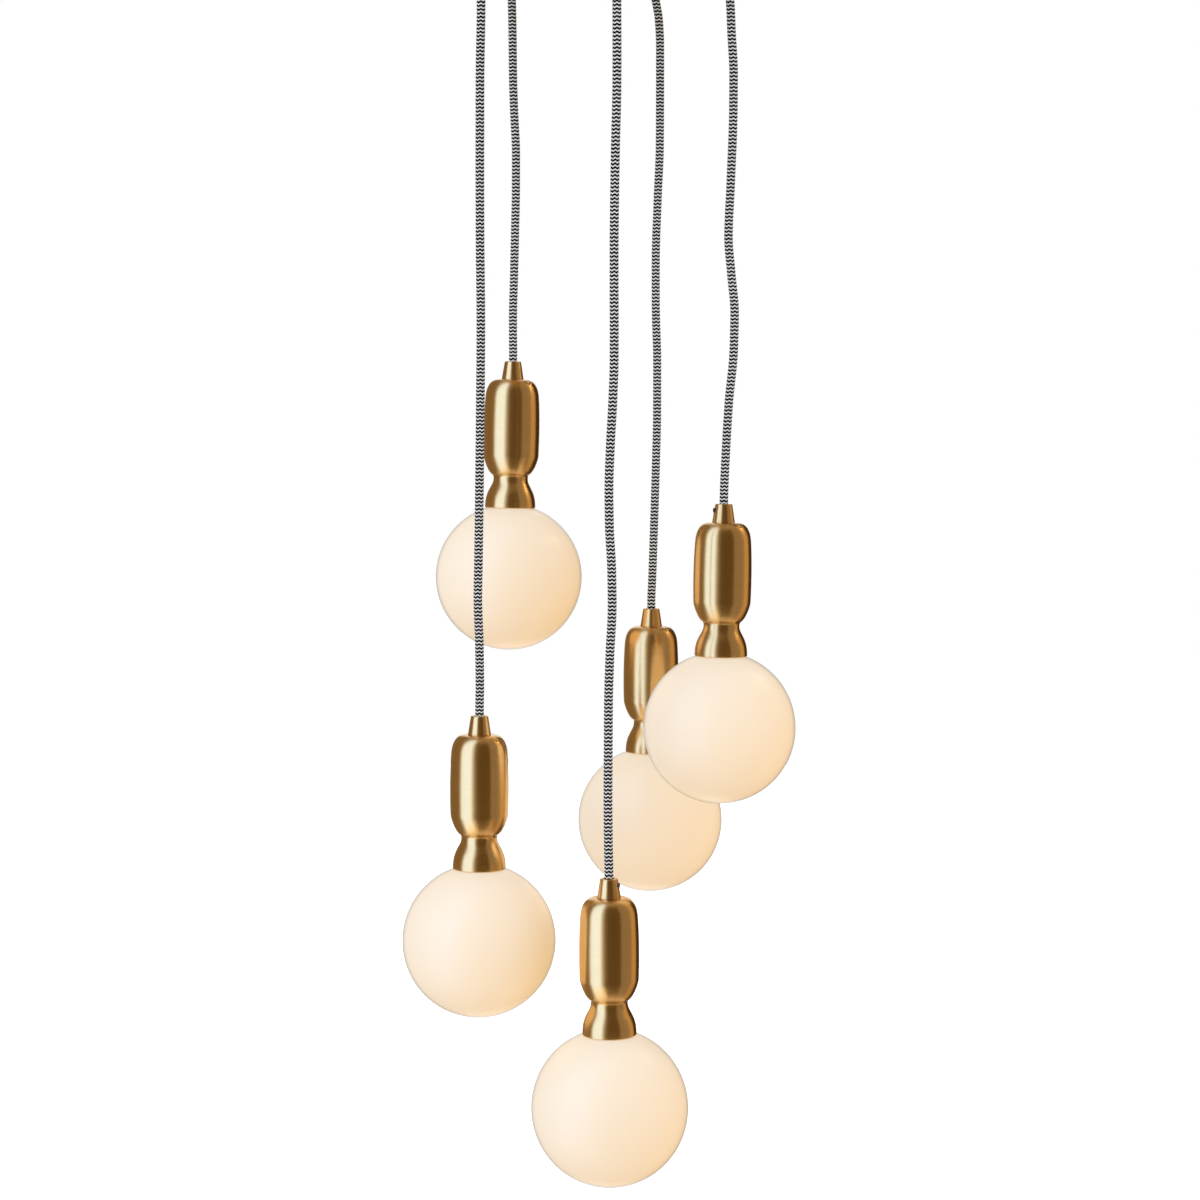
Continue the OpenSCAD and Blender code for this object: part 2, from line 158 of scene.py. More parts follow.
def joined(*runs: Iterable[Pair]) -> list[Pair]:
    """One outline out of several runs of points, with no point twice in a row.

    Args:
        runs: the runs in order.

    Returns:
        The outline.
    """
    outline: list[Pair] = []
    for run in runs:
        for point in run:
            if not outline or math.dist(point, outline[-1]) > 2e-5:
                outline.append((point[0], point[1]))
    return outline


def clear_selection() -> None:
    """Leaves edit mode and deselects everything."""
    if bpy.context.object is not None and bpy.context.object.mode != "OBJECT":
        bpy.ops.object.mode_set(mode="OBJECT")
    bpy.ops.object.select_all(action="DESELECT")


def pick(piece: bpy.types.Object) -> None:
    """Selects one piece alone and makes it active.

    Args:
        piece: the piece.
    """
    clear_selection()
    piece.select_set(True)
    bpy.context.view_layer.objects.active = piece


def lathe(name: str, outline: Sequence[Pair], steps: int = 128) -> bpy.types.Object:
    """Draws a closed outline with extruded points and spins it round the vertical axis.

    Args:
        name: name of the new piece.
        outline: points of the half section as (radius, height), without the first one again at the end. One that
            starts and ends on the axis stays open there.
        steps: faces round the axis.

    Returns:
        The turned piece, with its own coordinates and the length along its outline stored on its points.
    """
    clear_selection()
    radius, height = outline[0]
    bpy.ops.mesh.primitive_plane_add(size=0.002, location=(radius, 0.0, height))
    piece = bpy.context.object
    piece.name = name
    piece.data.name = name
    bpy.ops.object.transform_apply(location=True, rotation=True, scale=True)
    bpy.ops.object.mode_set(mode="EDIT")
    bpy.ops.mesh.select_all(action="SELECT")
    bpy.ops.mesh.merge(type="CENTER")
    open_ended = max(outline[0][0], outline[-1][0]) < 1e-6
    for before, after in zip(outline, outline[1:] if open_ended else [*outline[1:], outline[0]]):
        step = (after[0] - before[0], 0.0, after[1] - before[1])
        bpy.ops.mesh.extrude_region_move(TRANSFORM_OT_translate={"value": step})
    bpy.ops.mesh.select_all(action="SELECT")
    bpy.ops.mesh.remove_doubles(threshold=WELD)
    bpy.ops.mesh.select_all(action="SELECT")
    bpy.ops.mesh.spin(steps=steps, angle=math.tau, center=(0.0, 0.0, 0.0), axis=(0.0, 0.0, 1.0))
    bpy.ops.mesh.select_all(action="SELECT")
    bpy.ops.mesh.remove_doubles(threshold=WELD)
    bpy.ops.mesh.normals_make_consistent(inside=False)
    bpy.ops.object.mode_set(mode="OBJECT")
    bpy.ops.object.shade_smooth_by_angle(angle=TURNED_CREASE)
    mark_turning(piece, outline)
    return piece


def mark_turning(piece: bpy.types.Object, outline: Sequence[Pair]) -> None:
    """Stores each point's own coordinates and its length along the outline, for the turning marks.

    Args:
        piece: the turned piece, still in its own frame.
        outline: the outline that it was turned from.
    """
    places = points_of(piece)
    store(piece, Mark.TURNED, places)
    section = np.column_stack([np.hypot(places[:, 0], places[:, 1]), places[:, 2]])
    corners = np.array(outline, float)
    nearest = np.argmin(np.linalg.norm(section[:, None, :] - corners[None, :, :], axis=2), axis=1)
    store(piece, Mark.GROOVE, lengths_along(corners)[nearest])


def points_of(piece: bpy.types.Object) -> np.ndarray:
    """The places of a piece's points, one row each."""
    places = np.empty(len(piece.data.vertices) * 3, np.float32)
    piece.data.vertices.foreach_get("co", places)
    return places.reshape(-1, 3).astype(float)


def lengths_along(path: np.ndarray) -> np.ndarray:
    """The length along a path up to each of its points.

    Args:
        path: its points, one row each.

    Returns:
        The lengths, from zero on.
    """
    return np.concatenate([[0.0], np.cumsum(np.linalg.norm(np.diff(path, axis=0), axis=1))])


def store(piece: bpy.types.Object, mark: Mark, values: np.ndarray) -> None:
    """Stores a number or a vector on each point of a piece, for a pattern to follow.

    Args:
        piece: the piece.
        mark: the attribute's name.
        values: one number or one row of three for each point.
    """
    kind, key = ("FLOAT", "value") if values.ndim == 1 else ("FLOAT_VECTOR", "vector")
    attribute = piece.data.attributes.new(mark.value, kind, "POINT")
    attribute.data.foreach_set(key, values.astype(np.float32).ravel())


def sweep(name: str, line: Sequence[Vector], radius: float, sides: int) -> bpy.types.Object:
    """Sweeps a round cord along a line.

    Args:
        name: the piece's name.
        line: the points that it follows.
        radius: its radius.
        sides: faces round it.

    Returns:
        The cord as a closed mesh, with one ring of points at each point of the line.
    """
    curve = bpy.data.curves.new(name, "CURVE")
    curve.dimensions = "3D"
    curve.bevel_depth = radius
    curve.bevel_resolution = (sides - 4) // 2
    curve.use_fill_caps = True
    spline = curve.splines.new("POLY")
    spline.points.add(len(line) - 1)
    for point, place in zip(spline.points, line):
        point.co = (*place, 1.0)
    piece = bpy.data.objects.new(name, curve)
    bpy.context.collection.objects.link(piece)
    pick(piece)
    bpy.ops.object.convert(target="MESH")
    piece = bpy.context.object
    bpy.ops.object.mode_set(mode="EDIT")
    bpy.ops.mesh.select_all(action="SELECT")
    bpy.ops.mesh.remove_doubles(threshold=1e-6)
    bpy.ops.mesh.normals_make_consistent(inside=False)
    bpy.ops.object.mode_set(mode="OBJECT")
    bpy.ops.object.shade_smooth_by_angle(angle=CORD_CREASE)
    return piece


def placed_copy(pattern: bpy.types.Object, name: str, place: Matrix) -> bpy.types.Object:
    """Copies a piece with its own mesh and puts the copy in its place.

    Args:
        pattern: the piece that is copied.
        name: name of the copy.
        place: where it goes, from the pattern's frame.

    Returns:
        The copy, with its place in its mesh.
    """
    pick(pattern)
    bpy.ops.object.duplicate(linked=False)
    piece = bpy.context.object
    piece.name = name
    piece.data.name = name
    piece.matrix_world = place
    bpy.ops.object.transform_apply(location=True, rotation=True, scale=True)
    return piece


def remove(piece: bpy.types.Object) -> None:
    """Deletes a pattern piece once its copies are made.

    Args:
        piece: the pattern.
    """
    pick(piece)
    bpy.ops.object.delete()


def fuse(pieces: Sequence[bpy.types.Object], name: str) -> bpy.types.Object:
    """Makes one object of several, which stay separate solids in it.

    Args:
        pieces: the pieces.
        name: name of the whole.

    Returns:
        The whole.
    """
    pick(pieces[0])
    for piece in pieces:
        piece.select_set(True)
    bpy.ops.object.join()
    whole = bpy.context.object
    whole.name = whole.data.name = name
    return whole


def drill_out(piece: bpy.types.Object, drill: bpy.types.Object, outline: Sequence[Pair], sharp: float) -> None:
    """Cuts holes into a turned piece, and marks its turning anew.

    Args:
        piece: the piece.
        drill: the shape of the holes, which is deleted afterwards.
        outline: points along the outline that the piece was turned from.
        sharp: angle in degrees above which an edge stays sharp.
    """
    pick(piece)
    holes = piece.modifiers.new("holes", "BOOLEAN")
    holes.operation = "DIFFERENCE"
    holes.solver = "EXACT"
    holes.object = drill
    bpy.ops.object.modifier_apply(modifier=holes.name)
    remove(drill)
    pick(piece)
    bpy.ops.object.shade_smooth_by_angle(angle=math.radians(sharp))
    for mark in (Mark.TURNED, Mark.GROOVE):
        piece.data.attributes.remove(piece.data.attributes[mark.value])
    mark_turning(piece, outline)


def dress(piece: bpy.types.Object, material: bpy.types.Material) -> None:
    """Gives a piece one material in all its slots.

    Args:
        piece: the piece or the CAD node.
        material: its finish.
    """
    if not piece.material_slots:
        piece.data.materials.append(material)
    for place in piece.material_slots:
        place.material = material


class NodeBoard:
    """The node tree of a material or of the world, with short calls to add and wire nodes."""

    def __init__(self, name: str, world: bpy.types.World | None = None) -> None:
        """Makes an empty material, or empties the world.

        Args:
            name: the material's name.
            world: the world, where the tree isn't a material's.
        """
        self.holder = world or bpy.data.materials.new(name)
        self.holder.use_nodes = True
        self.tree = self.holder.node_tree
        self.tree.nodes.clear()

    def add(self, kind: str, settings: dict[str, Any] | None = None, **inputs: Any) -> bpy.types.Node:
        """Adds a node.

        Args:
            kind: its type.
            settings: values of its properties.
            inputs: values or sockets for its inputs, with underscores for spaces and in0, in1 for numbered inputs.

        Returns:
            The node.
        """
        node = self.tree.nodes.new(kind)
        for key, value in (settings or {}).items():
            setattr(node, key, value)
        for key, value in inputs.items():
            socket = node.inputs[int(key[2:])] if key[:2] == "in" and key[2:].isdigit() else self.named(node, key)
            self.give(socket, value)
        return node

    def give(self, socket: bpy.types.NodeSocket, value: Any) -> None:
        """Wires another socket to an input, or sets it to a plain value.

        Args:
            socket: the input.
            value: the other socket, a value, or a colour without its fourth number.
        """
        if isinstance(value, bpy.types.NodeSocket):
            self.tree.links.new(value, socket)
        elif socket.type == "RGBA" and len(value) == 3:
            socket.default_value = (*value, 1.0)
        else:
            socket.default_value = value

    @staticmethod
    def named(node: bpy.types.Node, key: str) -> bpy.types.NodeSocket:
        """The input of a node whose name is the key with spaces for underscores."""
        return node.inputs[key.replace("_", " ")]

    def math(self, operation: str, *values: Any) -> bpy.types.NodeSocket:
        """One step of arithmetic.

        Args:
            operation: the Math node's operation.
            values: its inputs in order.

        Returns:
            The result's socket.
        """
        given = {f"in{k}": value for k, value in enumerate(values)}
        return self.add("ShaderNodeMath", {"operation": operation}, **given).outputs[0]

    def mix(self, factor: Any, low: Any, high: Any) -> bpy.types.NodeSocket:
        """A mix of two colours.

        Args:
            factor: share of the second colour.
            low: first colour.
            high: second colour.

        Returns:
            The mixed colour's socket.
        """
        node = self.tree.nodes.new("ShaderNodeMix")
        node.data_type = "RGBA"
        for place, value in ((0, factor), (6, low), (7, high)):
            self.give(node.inputs[place], value)
        return node.outputs[2]

    def weighed(self, *parts: tuple[Any, float]) -> bpy.types.NodeSocket:
        """The sum of several values, each times its weight."""
        total, *others = [self.math("MULTIPLY", value, weight) for value, weight in parts]
        for other in others:
            total = self.math("ADD", total, other)
        return total

    def follow(self, mark: Mark, output: str = "Vector") -> bpy.types.NodeSocket:
        """What an attribute of the piece says at each point."""
        return self.add("ShaderNodeAttribute", {"attribute_name": mark.value}).outputs[output]

    def own_place(self) -> bpy.types.NodeSocket:
        """The place on the piece, in the piece's own coordinates."""
        return self.add("ShaderNodeTexCoord").outputs["Object"]

    def looked_at(self) -> bpy.types.NodeSocket:
        """Whether the ray is the camera's, a reflection's or one through glass, and not one that lights."""
        path = self.add("ShaderNodeLightPath")
        direct = self.math("MAXIMUM", path.outputs["Is Camera Ray"], path.outputs["Is Glossy Ray"])
        return self.math("MAXIMUM", direct, path.outputs["Is Transmission Ray"])

    def spread(self, value: Any, low: float, high: float, to_low: float, to_high: float) -> bpy.types.NodeSocket:
        """Maps a value from one range to another, kept inside it.

        Args:
            value: the value's socket.
            low: start of its range.
            high: end of its range.
            to_low: what the start becomes.
            to_high: what the end becomes.

        Returns:
            The mapped value's socket.
        """
        return self.add(
            "ShaderNodeMapRange", None, Value=value, From_Min=low, From_Max=high, To_Min=to_low, To_Max=to_high
        ).outputs[0]

    def noise(self, vector: Any, scale: float, detail: float = 3.0, roughness: float = 0.5) -> bpy.types.NodeSocket:
        """Noise between 0 and 1.

        Args:
            vector: where it is read.
            scale: its frequency.
            detail: how many finer layers it has.
            roughness: how strong these are.

        Returns:
            The value's socket.
        """
        node = self.add("ShaderNodeTexNoise", None, Vector=vector, Scale=scale, Detail=detail, Roughness=roughness)
        return node.outputs[0]

    def scaled(self, vector: Any, scale: Triple) -> bpy.types.NodeSocket:
        """A vector stretched along its axes."""
        return self.add("ShaderNodeMapping", None, Vector=vector, Scale=scale).outputs[0]

    def finish(self, shader: bpy.types.Node) -> bpy.types.Material:
        """Wires the shader to the output.

        Args:
            shader: the last shader.

        Returns:
            The finished material.
        """
        self.add("ShaderNodeOutputMaterial", None, in0=shader.outputs[0])
        return self.holder


@dataclass(frozen=True)
class TurnedBrass:
    """Satin brass under a thin lacquer, brushed on the lathe, so that its gloss is drawn out across the brushing."""

    colour: Triple = (0.87, 0.56, 0.215)
    deep: Triple = (0.80, 0.50, 0.185)
    roughness: float = 0.29
    marks: float = 1500.0
    drift: float = 46.0
    level_drift: float = 60.0
    bump_depth: float = 0.00003

    def build(self, name: str = "turned_brass") -> bpy.types.Material:
        """The brass for pieces that carry their turning marks.

        Args:
            name: the material's name.

        Returns:
            The material.
        """
        board = NodeBoard(name)
        own = board.follow(Mark.TURNED)
        groove = board.follow(Mark.GROOVE, "Fac")
        split = board.add("ShaderNodeSeparateXYZ", None, Vector=own)
        x, y = split.outputs[0], split.outputs[1]
        line = board.add(
            "ShaderNodeCombineXYZ", None,
            X=board.math("MULTIPLY", x, self.drift), Y=board.math("MULTIPLY", y, self.drift),
            Z=board.math("MULTIPLY", groove, self.marks)
        ).outputs[0]
        round_way = board.add("ShaderNodeCombineXYZ", None, X=board.math("MULTIPLY", y, -1.0), Y=x, Z=0.0).outputs[0]
        shader = self.shade(board, own, line)
        shader.inputs["Anisotropic"].default_value = 0.8
        shader.inputs["Anisotropic Rotation"].default_value = 0.25
        board.tree.links.new(round_way, shader.inputs["Tangent"])
        return board.finish(shader)

    def build_flat(self, name: str = "plain_brass") -> bpy.types.Material:
        """The brass for CAD nodes, whose marks run level.

        Args:
            name: the material's name.

        Returns:
            The material.
        """
        board = NodeBoard(name)
        own = board.own_place()
        line = board.scaled(own, (self.level_drift, self.level_drift, self.marks))
        return board.finish(self.shade(board, own, line))

    def shade(self, board: NodeBoard, own: Any, line: Any) -> bpy.types.Node:
        """Wires the brass from the two fields that it varies with.

        Args:
            board: the material.
            own: place on the piece, for the broad changes.
            line: place across the brushing.

        Returns:
            The shader.
        """
        fine = board.noise(line, 1.0, 2.0, 0.6)
        broad = board.noise(board.scaled(line, (1.0, 1.0, 0.12)), 1.0, 2.0, 0.5)
        cloud = board.noise(own, 30.0, 3.0, 0.5)
        tone = board.weighed((fine, 0.5), (broad, 0.3), (cloud, 0.2))
        colour = board.mix(board.spread(tone, 0.3, 0.7, 0.0, 1.0), self.deep, self.colour)
        rough = board.math("ADD", board.spread(fine, 0.3, 0.7, -0.012, 0.014),
                           board.spread(cloud, 0.3, 0.7, self.roughness - 0.012, self.roughness + 0.016))
        height = board.weighed((fine, 0.55), (broad, 0.45))
        bump = board.add("ShaderNodeBump", None, Strength=0.22, Distance=self.bump_depth, Height=height).outputs[0]
        return board.add(
            "ShaderNodeBsdfPrincipled", None, Base_Color=colour, Metallic=1.0, Roughness=rough, Normal=bump,
            Coat_Weight=0.25, Coat_Roughness=0.16, Coat_IOR=1.5
        )


@dataclass(frozen=True)
class OpalGlass:
    """Satin opal glass, lit warm white from inside, with painted light and shade that make its glow cooler on one side
    and warmer on the other.
    """

    body: Triple = (0.51, 0.49, 0.46)
    dull: Triple = (0.50, 0.48, 0.45)
    cool_glow: Triple = (0.450, 0.350, 0.235)
    warm_glow: Triple = (0.500, 0.265, 0.030)
    painted_warm_side: Triple = (7.9, -1.6, -6.9)
    unevenness: float = 0.25
    bump_depth: float = 0.0008
    index: float = 1.45

    def build(self, name: str = "opal_glass") -> bpy.types.Material:
        """The glass.

        Args:
            name: the material's name.

        Returns:
            The material.
        """
        board = NodeBoard(name)
        own = board.follow(Mark.TURNED)
        middle = board.add("ShaderNodeMapping", None, Vector=own, Location=(0.0, 0.0, -GLOBE_CENTRE)).outputs[0]
        # Painted light and shade: the glow runs from the cool colour to the warmer one along one fixed direction of
        # the globe
        side = board.add("ShaderNodeVectorMath", {"operation": "DOT_PRODUCT"}, in0=middle, in1=self.painted_warm_side)
        cloud = board.noise(own, 16.0, 2.0, 0.5)
        drift = board.math("MULTIPLY", board.math("SUBTRACT", cloud, 0.5), self.unevenness)
        lean = board.math("ADD", side.outputs["Value"], drift)
        warm = board.math("POWER", board.spread(lean, -0.45, 0.70, 0.0, 1.0), 1.4)
        glow = board.mix(warm, self.cool_glow, self.warm_glow)
        skin = board.add("ShaderNodeFresnel", None, IOR=self.index).outputs[0]
        strength = board.spread(skin, 0.20, 0.60, 1.0, 0.15)
        colour = board.mix(board.spread(cloud, 0.3, 0.7, 0.0, 1.0), self.dull, self.body)
        ripple = board.noise(own, 55.0, 2.0, 0.4)
        bump = board.add("ShaderNodeBump", None, Strength=0.08, Distance=self.bump_depth, Height=ripple).outputs[0]
        rough = board.spread(board.noise(own, 300.0, 2.0, 0.5), 0.3, 0.7, 0.36, 0.42)
        shader = board.add(
            "ShaderNodeBsdfPrincipled", None, Base_Color=colour, Roughness=rough, Normal=bump, IOR=self.index,
            Specular_IOR_Level=0.35, Emission_Color=glow, Emission_Strength=strength
        )
        return board.finish(shader)


@dataclass(frozen=True)
class ZigzagTextile:
    """Round braid of black and white yarn whose stripes run in zigzags round the cord."""

    black: Triple = (0.004, 0.004, 0.006)
    worn_black: Triple = (0.008, 0.008, 0.011)
    white: Triple = (0.93, 0.93, 0.93)
    dull_white: Triple = (0.80, 0.80, 0.80)
    repeat: float = 0.00296
    columns: int = 6
    rise: float = 0.39
    black_share: Pair = (0.298, 0.322)
    strands: float = 50.0
    bump_depth: float = 0.00035

    def build(self, name: str = "zigzag_textile") -> bpy.types.Material:
        """The braid, which reads the angle round the cord and the length along it.

        Args:
            name: the material's name.

        Returns:
            The material.
        """
        board = NodeBoard(name)
        wrap = board.follow(Mark.WRAP)
        split = board.add("ShaderNodeSeparateXYZ", None, Vector=wrap)
        turn = board.math("DIVIDE", board.math("ARCTAN2", split.outputs[1], split.outputs[0]), math.tau)
        column = board.math("MULTIPLY", turn, float(self.columns))
        zigzag = board.math("MULTIPLY", board.math("PINGPONG", column, 0.5), 2.0)
        along = board.math("DIVIDE", split.outputs[2], self.repeat)
        wobble = board.math("MULTIPLY", board.math("SUBTRACT", board.noise(wrap, 3.0, 2.0), 0.5), 0.10)
        phase = board.math("ADD", board.math("ADD", along, board.math("MULTIPLY", zigzag, self.rise)), wobble)
        stripe = board.spread(board.math("PINGPONG", phase, 0.5), *self.black_share, 0.0, 1.0)
        ridge = board.math("PINGPONG", board.math("MULTIPLY", phase, 2.0), 0.5)
        rib = board.math("SINE", board.math("MULTIPLY", ridge, math.pi))
        wale = board.math("POWER", board.math("SINE", board.math("MULTIPLY", zigzag, math.pi)), 0.5)
        strand = board.math("SINE", board.math("MULTIPLY", phase, self.strands))
        height = board.weighed((rib, 0.6), (wale, 0.4), (strand, 0.12))
        fuzz = board.noise(board.scaled(wrap, (9.0, 9.0, 2600.0)), 1.0, 3.0, 0.6)
        yarn = board.mix(
            stripe, board.mix(fuzz, self.black, self.worn_black), board.mix(fuzz, self.dull_white, self.white)
        )
        # Painted shade: the yarn's colour is darkened down to 0.8 in the grooves between the braid's ribs
        shade = board.math("ADD", 0.8, board.math("MULTIPLY", rib, 0.2))
        colour = board.mix(shade, (0.0, 0.0, 0.0), yarn)
        bump = board.add("ShaderNodeBump", None, Strength=0.8, Distance=self.bump_depth, Height=height).outputs[0]
        shader = board.add(
            "ShaderNodeBsdfPrincipled", None, Base_Color=colour, Roughness=0.86, Normal=bump, Sheen_Weight=0.01,
            Sheen_Roughness=0.4, Specular_IOR_Level=0.08
        )
        return board.finish(shader)


@dataclass(frozen=True)
class PlainMetal:
    """Plated or blackened steel and pressed contact sheet."""

    colour: Triple
    dark: Triple
    roughness: float
    grain: Triple = (300.0, 300.0, 300.0)
    bump_depth: float = 0.00005

    def build(self, name: str) -> bpy.types.Material:
        """The metal.

        Args:
            name: the material's name.

        Returns:
            The material.
        """
        board = NodeBoard(name)
        own = board.own_place()
        cloud = board.noise(own, 60.0, 4.0, 0.6)
        grain = board.noise(board.scaled(own, self.grain), 6.0, 3.0, 0.6)
        blend = board.spread(board.weighed((cloud, 0.6), (grain, 0.4)), 0.35, 0.65, 0.0, 1.0)
        colour = board.mix(blend, self.dark, self.colour)
        rough = board.spread(grain, 0.3, 0.7, self.roughness - 0.06, self.roughness + 0.08)
        bump = board.add("ShaderNodeBump", None, Strength=0.25, Distance=self.bump_depth, Height=grain).outputs[0]
        shader = board.add(
            "ShaderNodeBsdfPrincipled", None, Base_Color=colour, Metallic=1.0, Roughness=rough, Normal=bump
        )
        return board.finish(shader)


@dataclass(frozen=True)
class MouldedPart:
    """Moulded insulating plastic with a fine spark-eroded grain."""

    colour: Triple = (0.84, 0.84, 0.80)
    shade: Triple = (0.74, 0.73, 0.69)
    roughness: float = 0.48
    bump_depth: float = 0.00004

    def build(self, name: str) -> bpy.types.Material:
        """The plastic.

        Args:
            name: the material's name.

        Returns:
            The material.
        """
        board = NodeBoard(name)
        own = board.own_place()
        grain = board.noise(own, 2600.0, 2.0, 0.5)
        cloud = board.noise(own, 90.0, 3.0, 0.5)
        colour = board.mix(board.spread(cloud, 0.3, 0.7, 0.0, 1.0), self.shade, self.colour)
        rough = board.spread(grain, 0.3, 0.7, self.roughness - 0.05, self.roughness + 0.07)
        bump = board.add("ShaderNodeBump", None, Strength=0.2, Distance=self.bump_depth, Height=grain).outputs[0]
        shader = board.add("ShaderNodeBsdfPrincipled", None, Base_Color=colour, Roughness=rough, Normal=bump)
        return board.finish(shader)


@dataclass(frozen=True)
class Finishes:
    """All finishes of the chandelier, built once."""

    brass: bpy.types.Material
    level_brass: bpy.types.Material
    opal: bpy.types.Material
    textile: bpy.types.Material
    dark_steel: bpy.types.Material
    plated_steel: bpy.types.Material
    strap_steel: bpy.types.Material
    contact: bpy.types.Material
    cap: bpy.types.Material
    insulator: bpy.types.Material
    core: bpy.types.Material

    @staticmethod
    def build() -> Finishes:
        """Builds every finish."""
        brass = TurnedBrass()
        return Finishes(
            brass=brass.build(),
            level_brass=brass.build_flat(),
            opal=OpalGlass().build(),
            textile=ZigzagTextile().build(),
            dark_steel=PlainMetal((0.16, 0.14, 0.13), (0.07, 0.06, 0.055), 0.38).build("blackened_steel"),
            plated_steel=PlainMetal((0.74, 0.74, 0.75), (0.60, 0.60, 0.62), 0.24).build("plated_steel"),
            strap_steel=PlainMetal(
                (0.66, 0.67, 0.69), (0.50, 0.51, 0.54), 0.36, (40.0, 900.0, 900.0)
            ).build("strap_steel"),
            contact=PlainMetal((0.80, 0.60, 0.30), (0.66, 0.46, 0.20), 0.28).build("contact_brass"),
            cap=PlainMetal((0.78, 0.77, 0.74), (0.62, 0.61, 0.58), 0.26).build("cap_metal"),
            insulator=MouldedPart().build("insulator"),
            core=MouldedPart((0.86, 0.85, 0.80), (0.80, 0.78, 0.72), 0.4).build("bulb_core"),
        )


@dataclass(frozen=True)
class CordGrip:
    """Tapered brass grip with a rounded mouth and a threaded stem."""

    height: float = 0.0155
    base_radius: float = 0.00935
    mouth_radius: float = 0.0071
    edge: float = 0.001
    inset: float = 0.001
    cord_radius: float = 0.0035
    stem_radius: float = 0.00495
    screw_height: float = 0.0102
    screw_hole: float = 0.0022
    lamp_stem: float = 0.0276
    bore_play: float = 0.0004
    throat_play: float = 0.00065
    mouth_play: float = 0.00115
    mouth_edge: float = 0.0003
    chamfer: float = 0.00025
    foot_height: float = 0.0006
    throat_depth: float = 0.0026

    def outline(self, stem: float) -> list[Pair]:
        """Half section with its base at zero.

        Args:
            stem: length of the threaded stem below the base.

        Returns:
            The closed outline.
        """
        bore = self.cord_radius + self.bore_play
        throat = self.cord_radius + self.throat_play
        flare = self.cord_radius + self.mouth_play
        chamfer, lip = self.chamfer, self.mouth_edge
        return joined(
            [(bore, -stem), (self.stem_radius - chamfer, -stem), (self.stem_radius, -stem + chamfer)],
            [(self.stem_radius, -chamfer * 0.2), (self.base_radius - chamfer, 0.0), (self.base_radius, chamfer)],
            [(self.base_radius, self.foot_height)],
            arc((self.mouth_radius - self.edge, self.height - self.edge), self.edge, 8, 90, 8),
            arc((flare + lip, self.height - lip), lip, 90, 180, 4),
            [(throat, self.height - self.inset), (bore, self.height - self.inset - self.throat_depth)],
        )

    def build(self, name: str, stem: float, turn: float) -> bpy.types.Object:
        """Turns the grip and drills the hole of its set screw.

        Args:
            name: the pattern's name.
            stem: length of its stem.
            turn: where the set screw points, in degrees from the right towards the back.

        Returns:
            The grip in its own frame.
        """
        outline = self.outline(stem)
        grip = lathe(name, outline, 96)
        clear_selection()
        bpy.ops.mesh.primitive_cylinder_add(
            vertices=32, radius=self.screw_hole, depth=self.base_radius,
            location=(self.base_radius / 2 * 1.05, 0.0, self.screw_height), rotation=(0.0, math.pi / 2, 0.0)
        )
        drill = bpy.context.object
        bpy.ops.object.transform_apply(location=True, rotation=True, scale=True)
        drill.rotation_euler = (0.0, 0.0, math.radians(turn))
        bpy.ops.object.transform_apply(location=True, rotation=True, scale=True)
        drill_out(grip, drill, outline, 32)
        return grip


@dataclass(frozen=True)
class HolderShell:
    """Turned brass shell of one lamp: the barrel above the seam and the collar below it."""

    top: float = -0.0145
    barrel_radius: float = 0.024
    barrel_height: float = 0.065
    seam_step: float = 0.0005
    collar_height: float = 0.0441
    waist_radius: float = 0.0147
    rim_radius: float = 0.0216
    rim_edge: float = 0.0003
    waist_rise: float = 0.0246
    wall: float = 0.0012
    stem_hole: float = 0.0052
    spigot_height: float = 0.005
    spigot_wall: float = 0.001
    spigot_play: float = 0.0001

    @property
    def seam_radius(self) -> float:
        """Outer radius at the seam."""
        return self.barrel_radius - self.seam_step

    def barrel(self) -> bpy.types.Object:
        """Turns the barrel with its round shoulder."""
        r, h = self.barrel_radius, self.barrel_height
        shoulder = bezier((r - 0.0116, 0.0), (r - 0.0053, 0.0), (r - 0.00175, -0.0059), (r - 0.00105, -0.015), 26)
        side = bezier((r - 0.00105, -0.015), (r - 0.00015, -h * 0.415), (r + 0.0002, -h * 0.73),
                      (self.seam_radius, -h), 22)
        outer = joined(shoulder, side)
        # The inside isn't seen, so every sixth point is enough there
        inner = moved_in(outer, self.wall)[::6]
        outline = joined(
            [(self.stem_hole, 0.0)], outer, [(self.seam_radius - self.wall, -h)], reversed(inner[:-1]),
            [(self.stem_hole, -self.wall)]
        )
        return lathe("barrel_pattern", [(x, z + self.top) for x, z in outline])

    def collar(self) -> bpy.types.Object:
        """Turns the underside, the waist and the bell, with the spigot that stands in the barrel."""
        w, rim, low, edge = self.waist_radius, self.rim_radius, -self.collar_height, self.rim_edge
        waist = low + self.waist_rise
        start, foot = (w + 0.0015, waist + 0.0035), (w + 0.0021, waist - 0.0064)
        under = bezier((self.seam_radius, 0.0), (self.seam_radius - 0.00015, 0.15 * waist),
                       (start[0] + 0.004, start[1] + 0.0031), start, 20)
        hollow = bezier(start, (start[0] - 0.0011, start[1] - 0.00085), (w, waist + 0.0018), (w, waist), 12)
        flare = bezier((w, waist), (w, waist - 0.0022), (foot[0] - 0.0013, foot[1] + 0.0024), foot, 10)
        bell = bezier(foot, (foot[0] + 0.0022, foot[1] - 0.0041), (rim + 0.0001, waist - 0.015),
                      (rim, low + edge), 20)
        outer = joined(under, hollow, flare, bell)
        spigot = self.seam_radius - self.wall - self.spigot_play
        inside = spigot - self.spigot_wall
        inner = [p for p in moved_in(outer, self.wall)[1:-1] if p[0] < inside][::3]
        outline = joined(
            outer, arc((rim - edge, low + edge), edge, 0, -90, 4),
            arc((rim - self.wall + edge, low + edge), edge, -90, -180, 4), reversed(inner),
            [(inside, self.spigot_height), (spigot, self.spigot_height), (spigot, 0.0)]
        )
        seam = self.top - self.barrel_height
        return lathe("collar_pattern", [(x, z + seam) for x, z in outline])


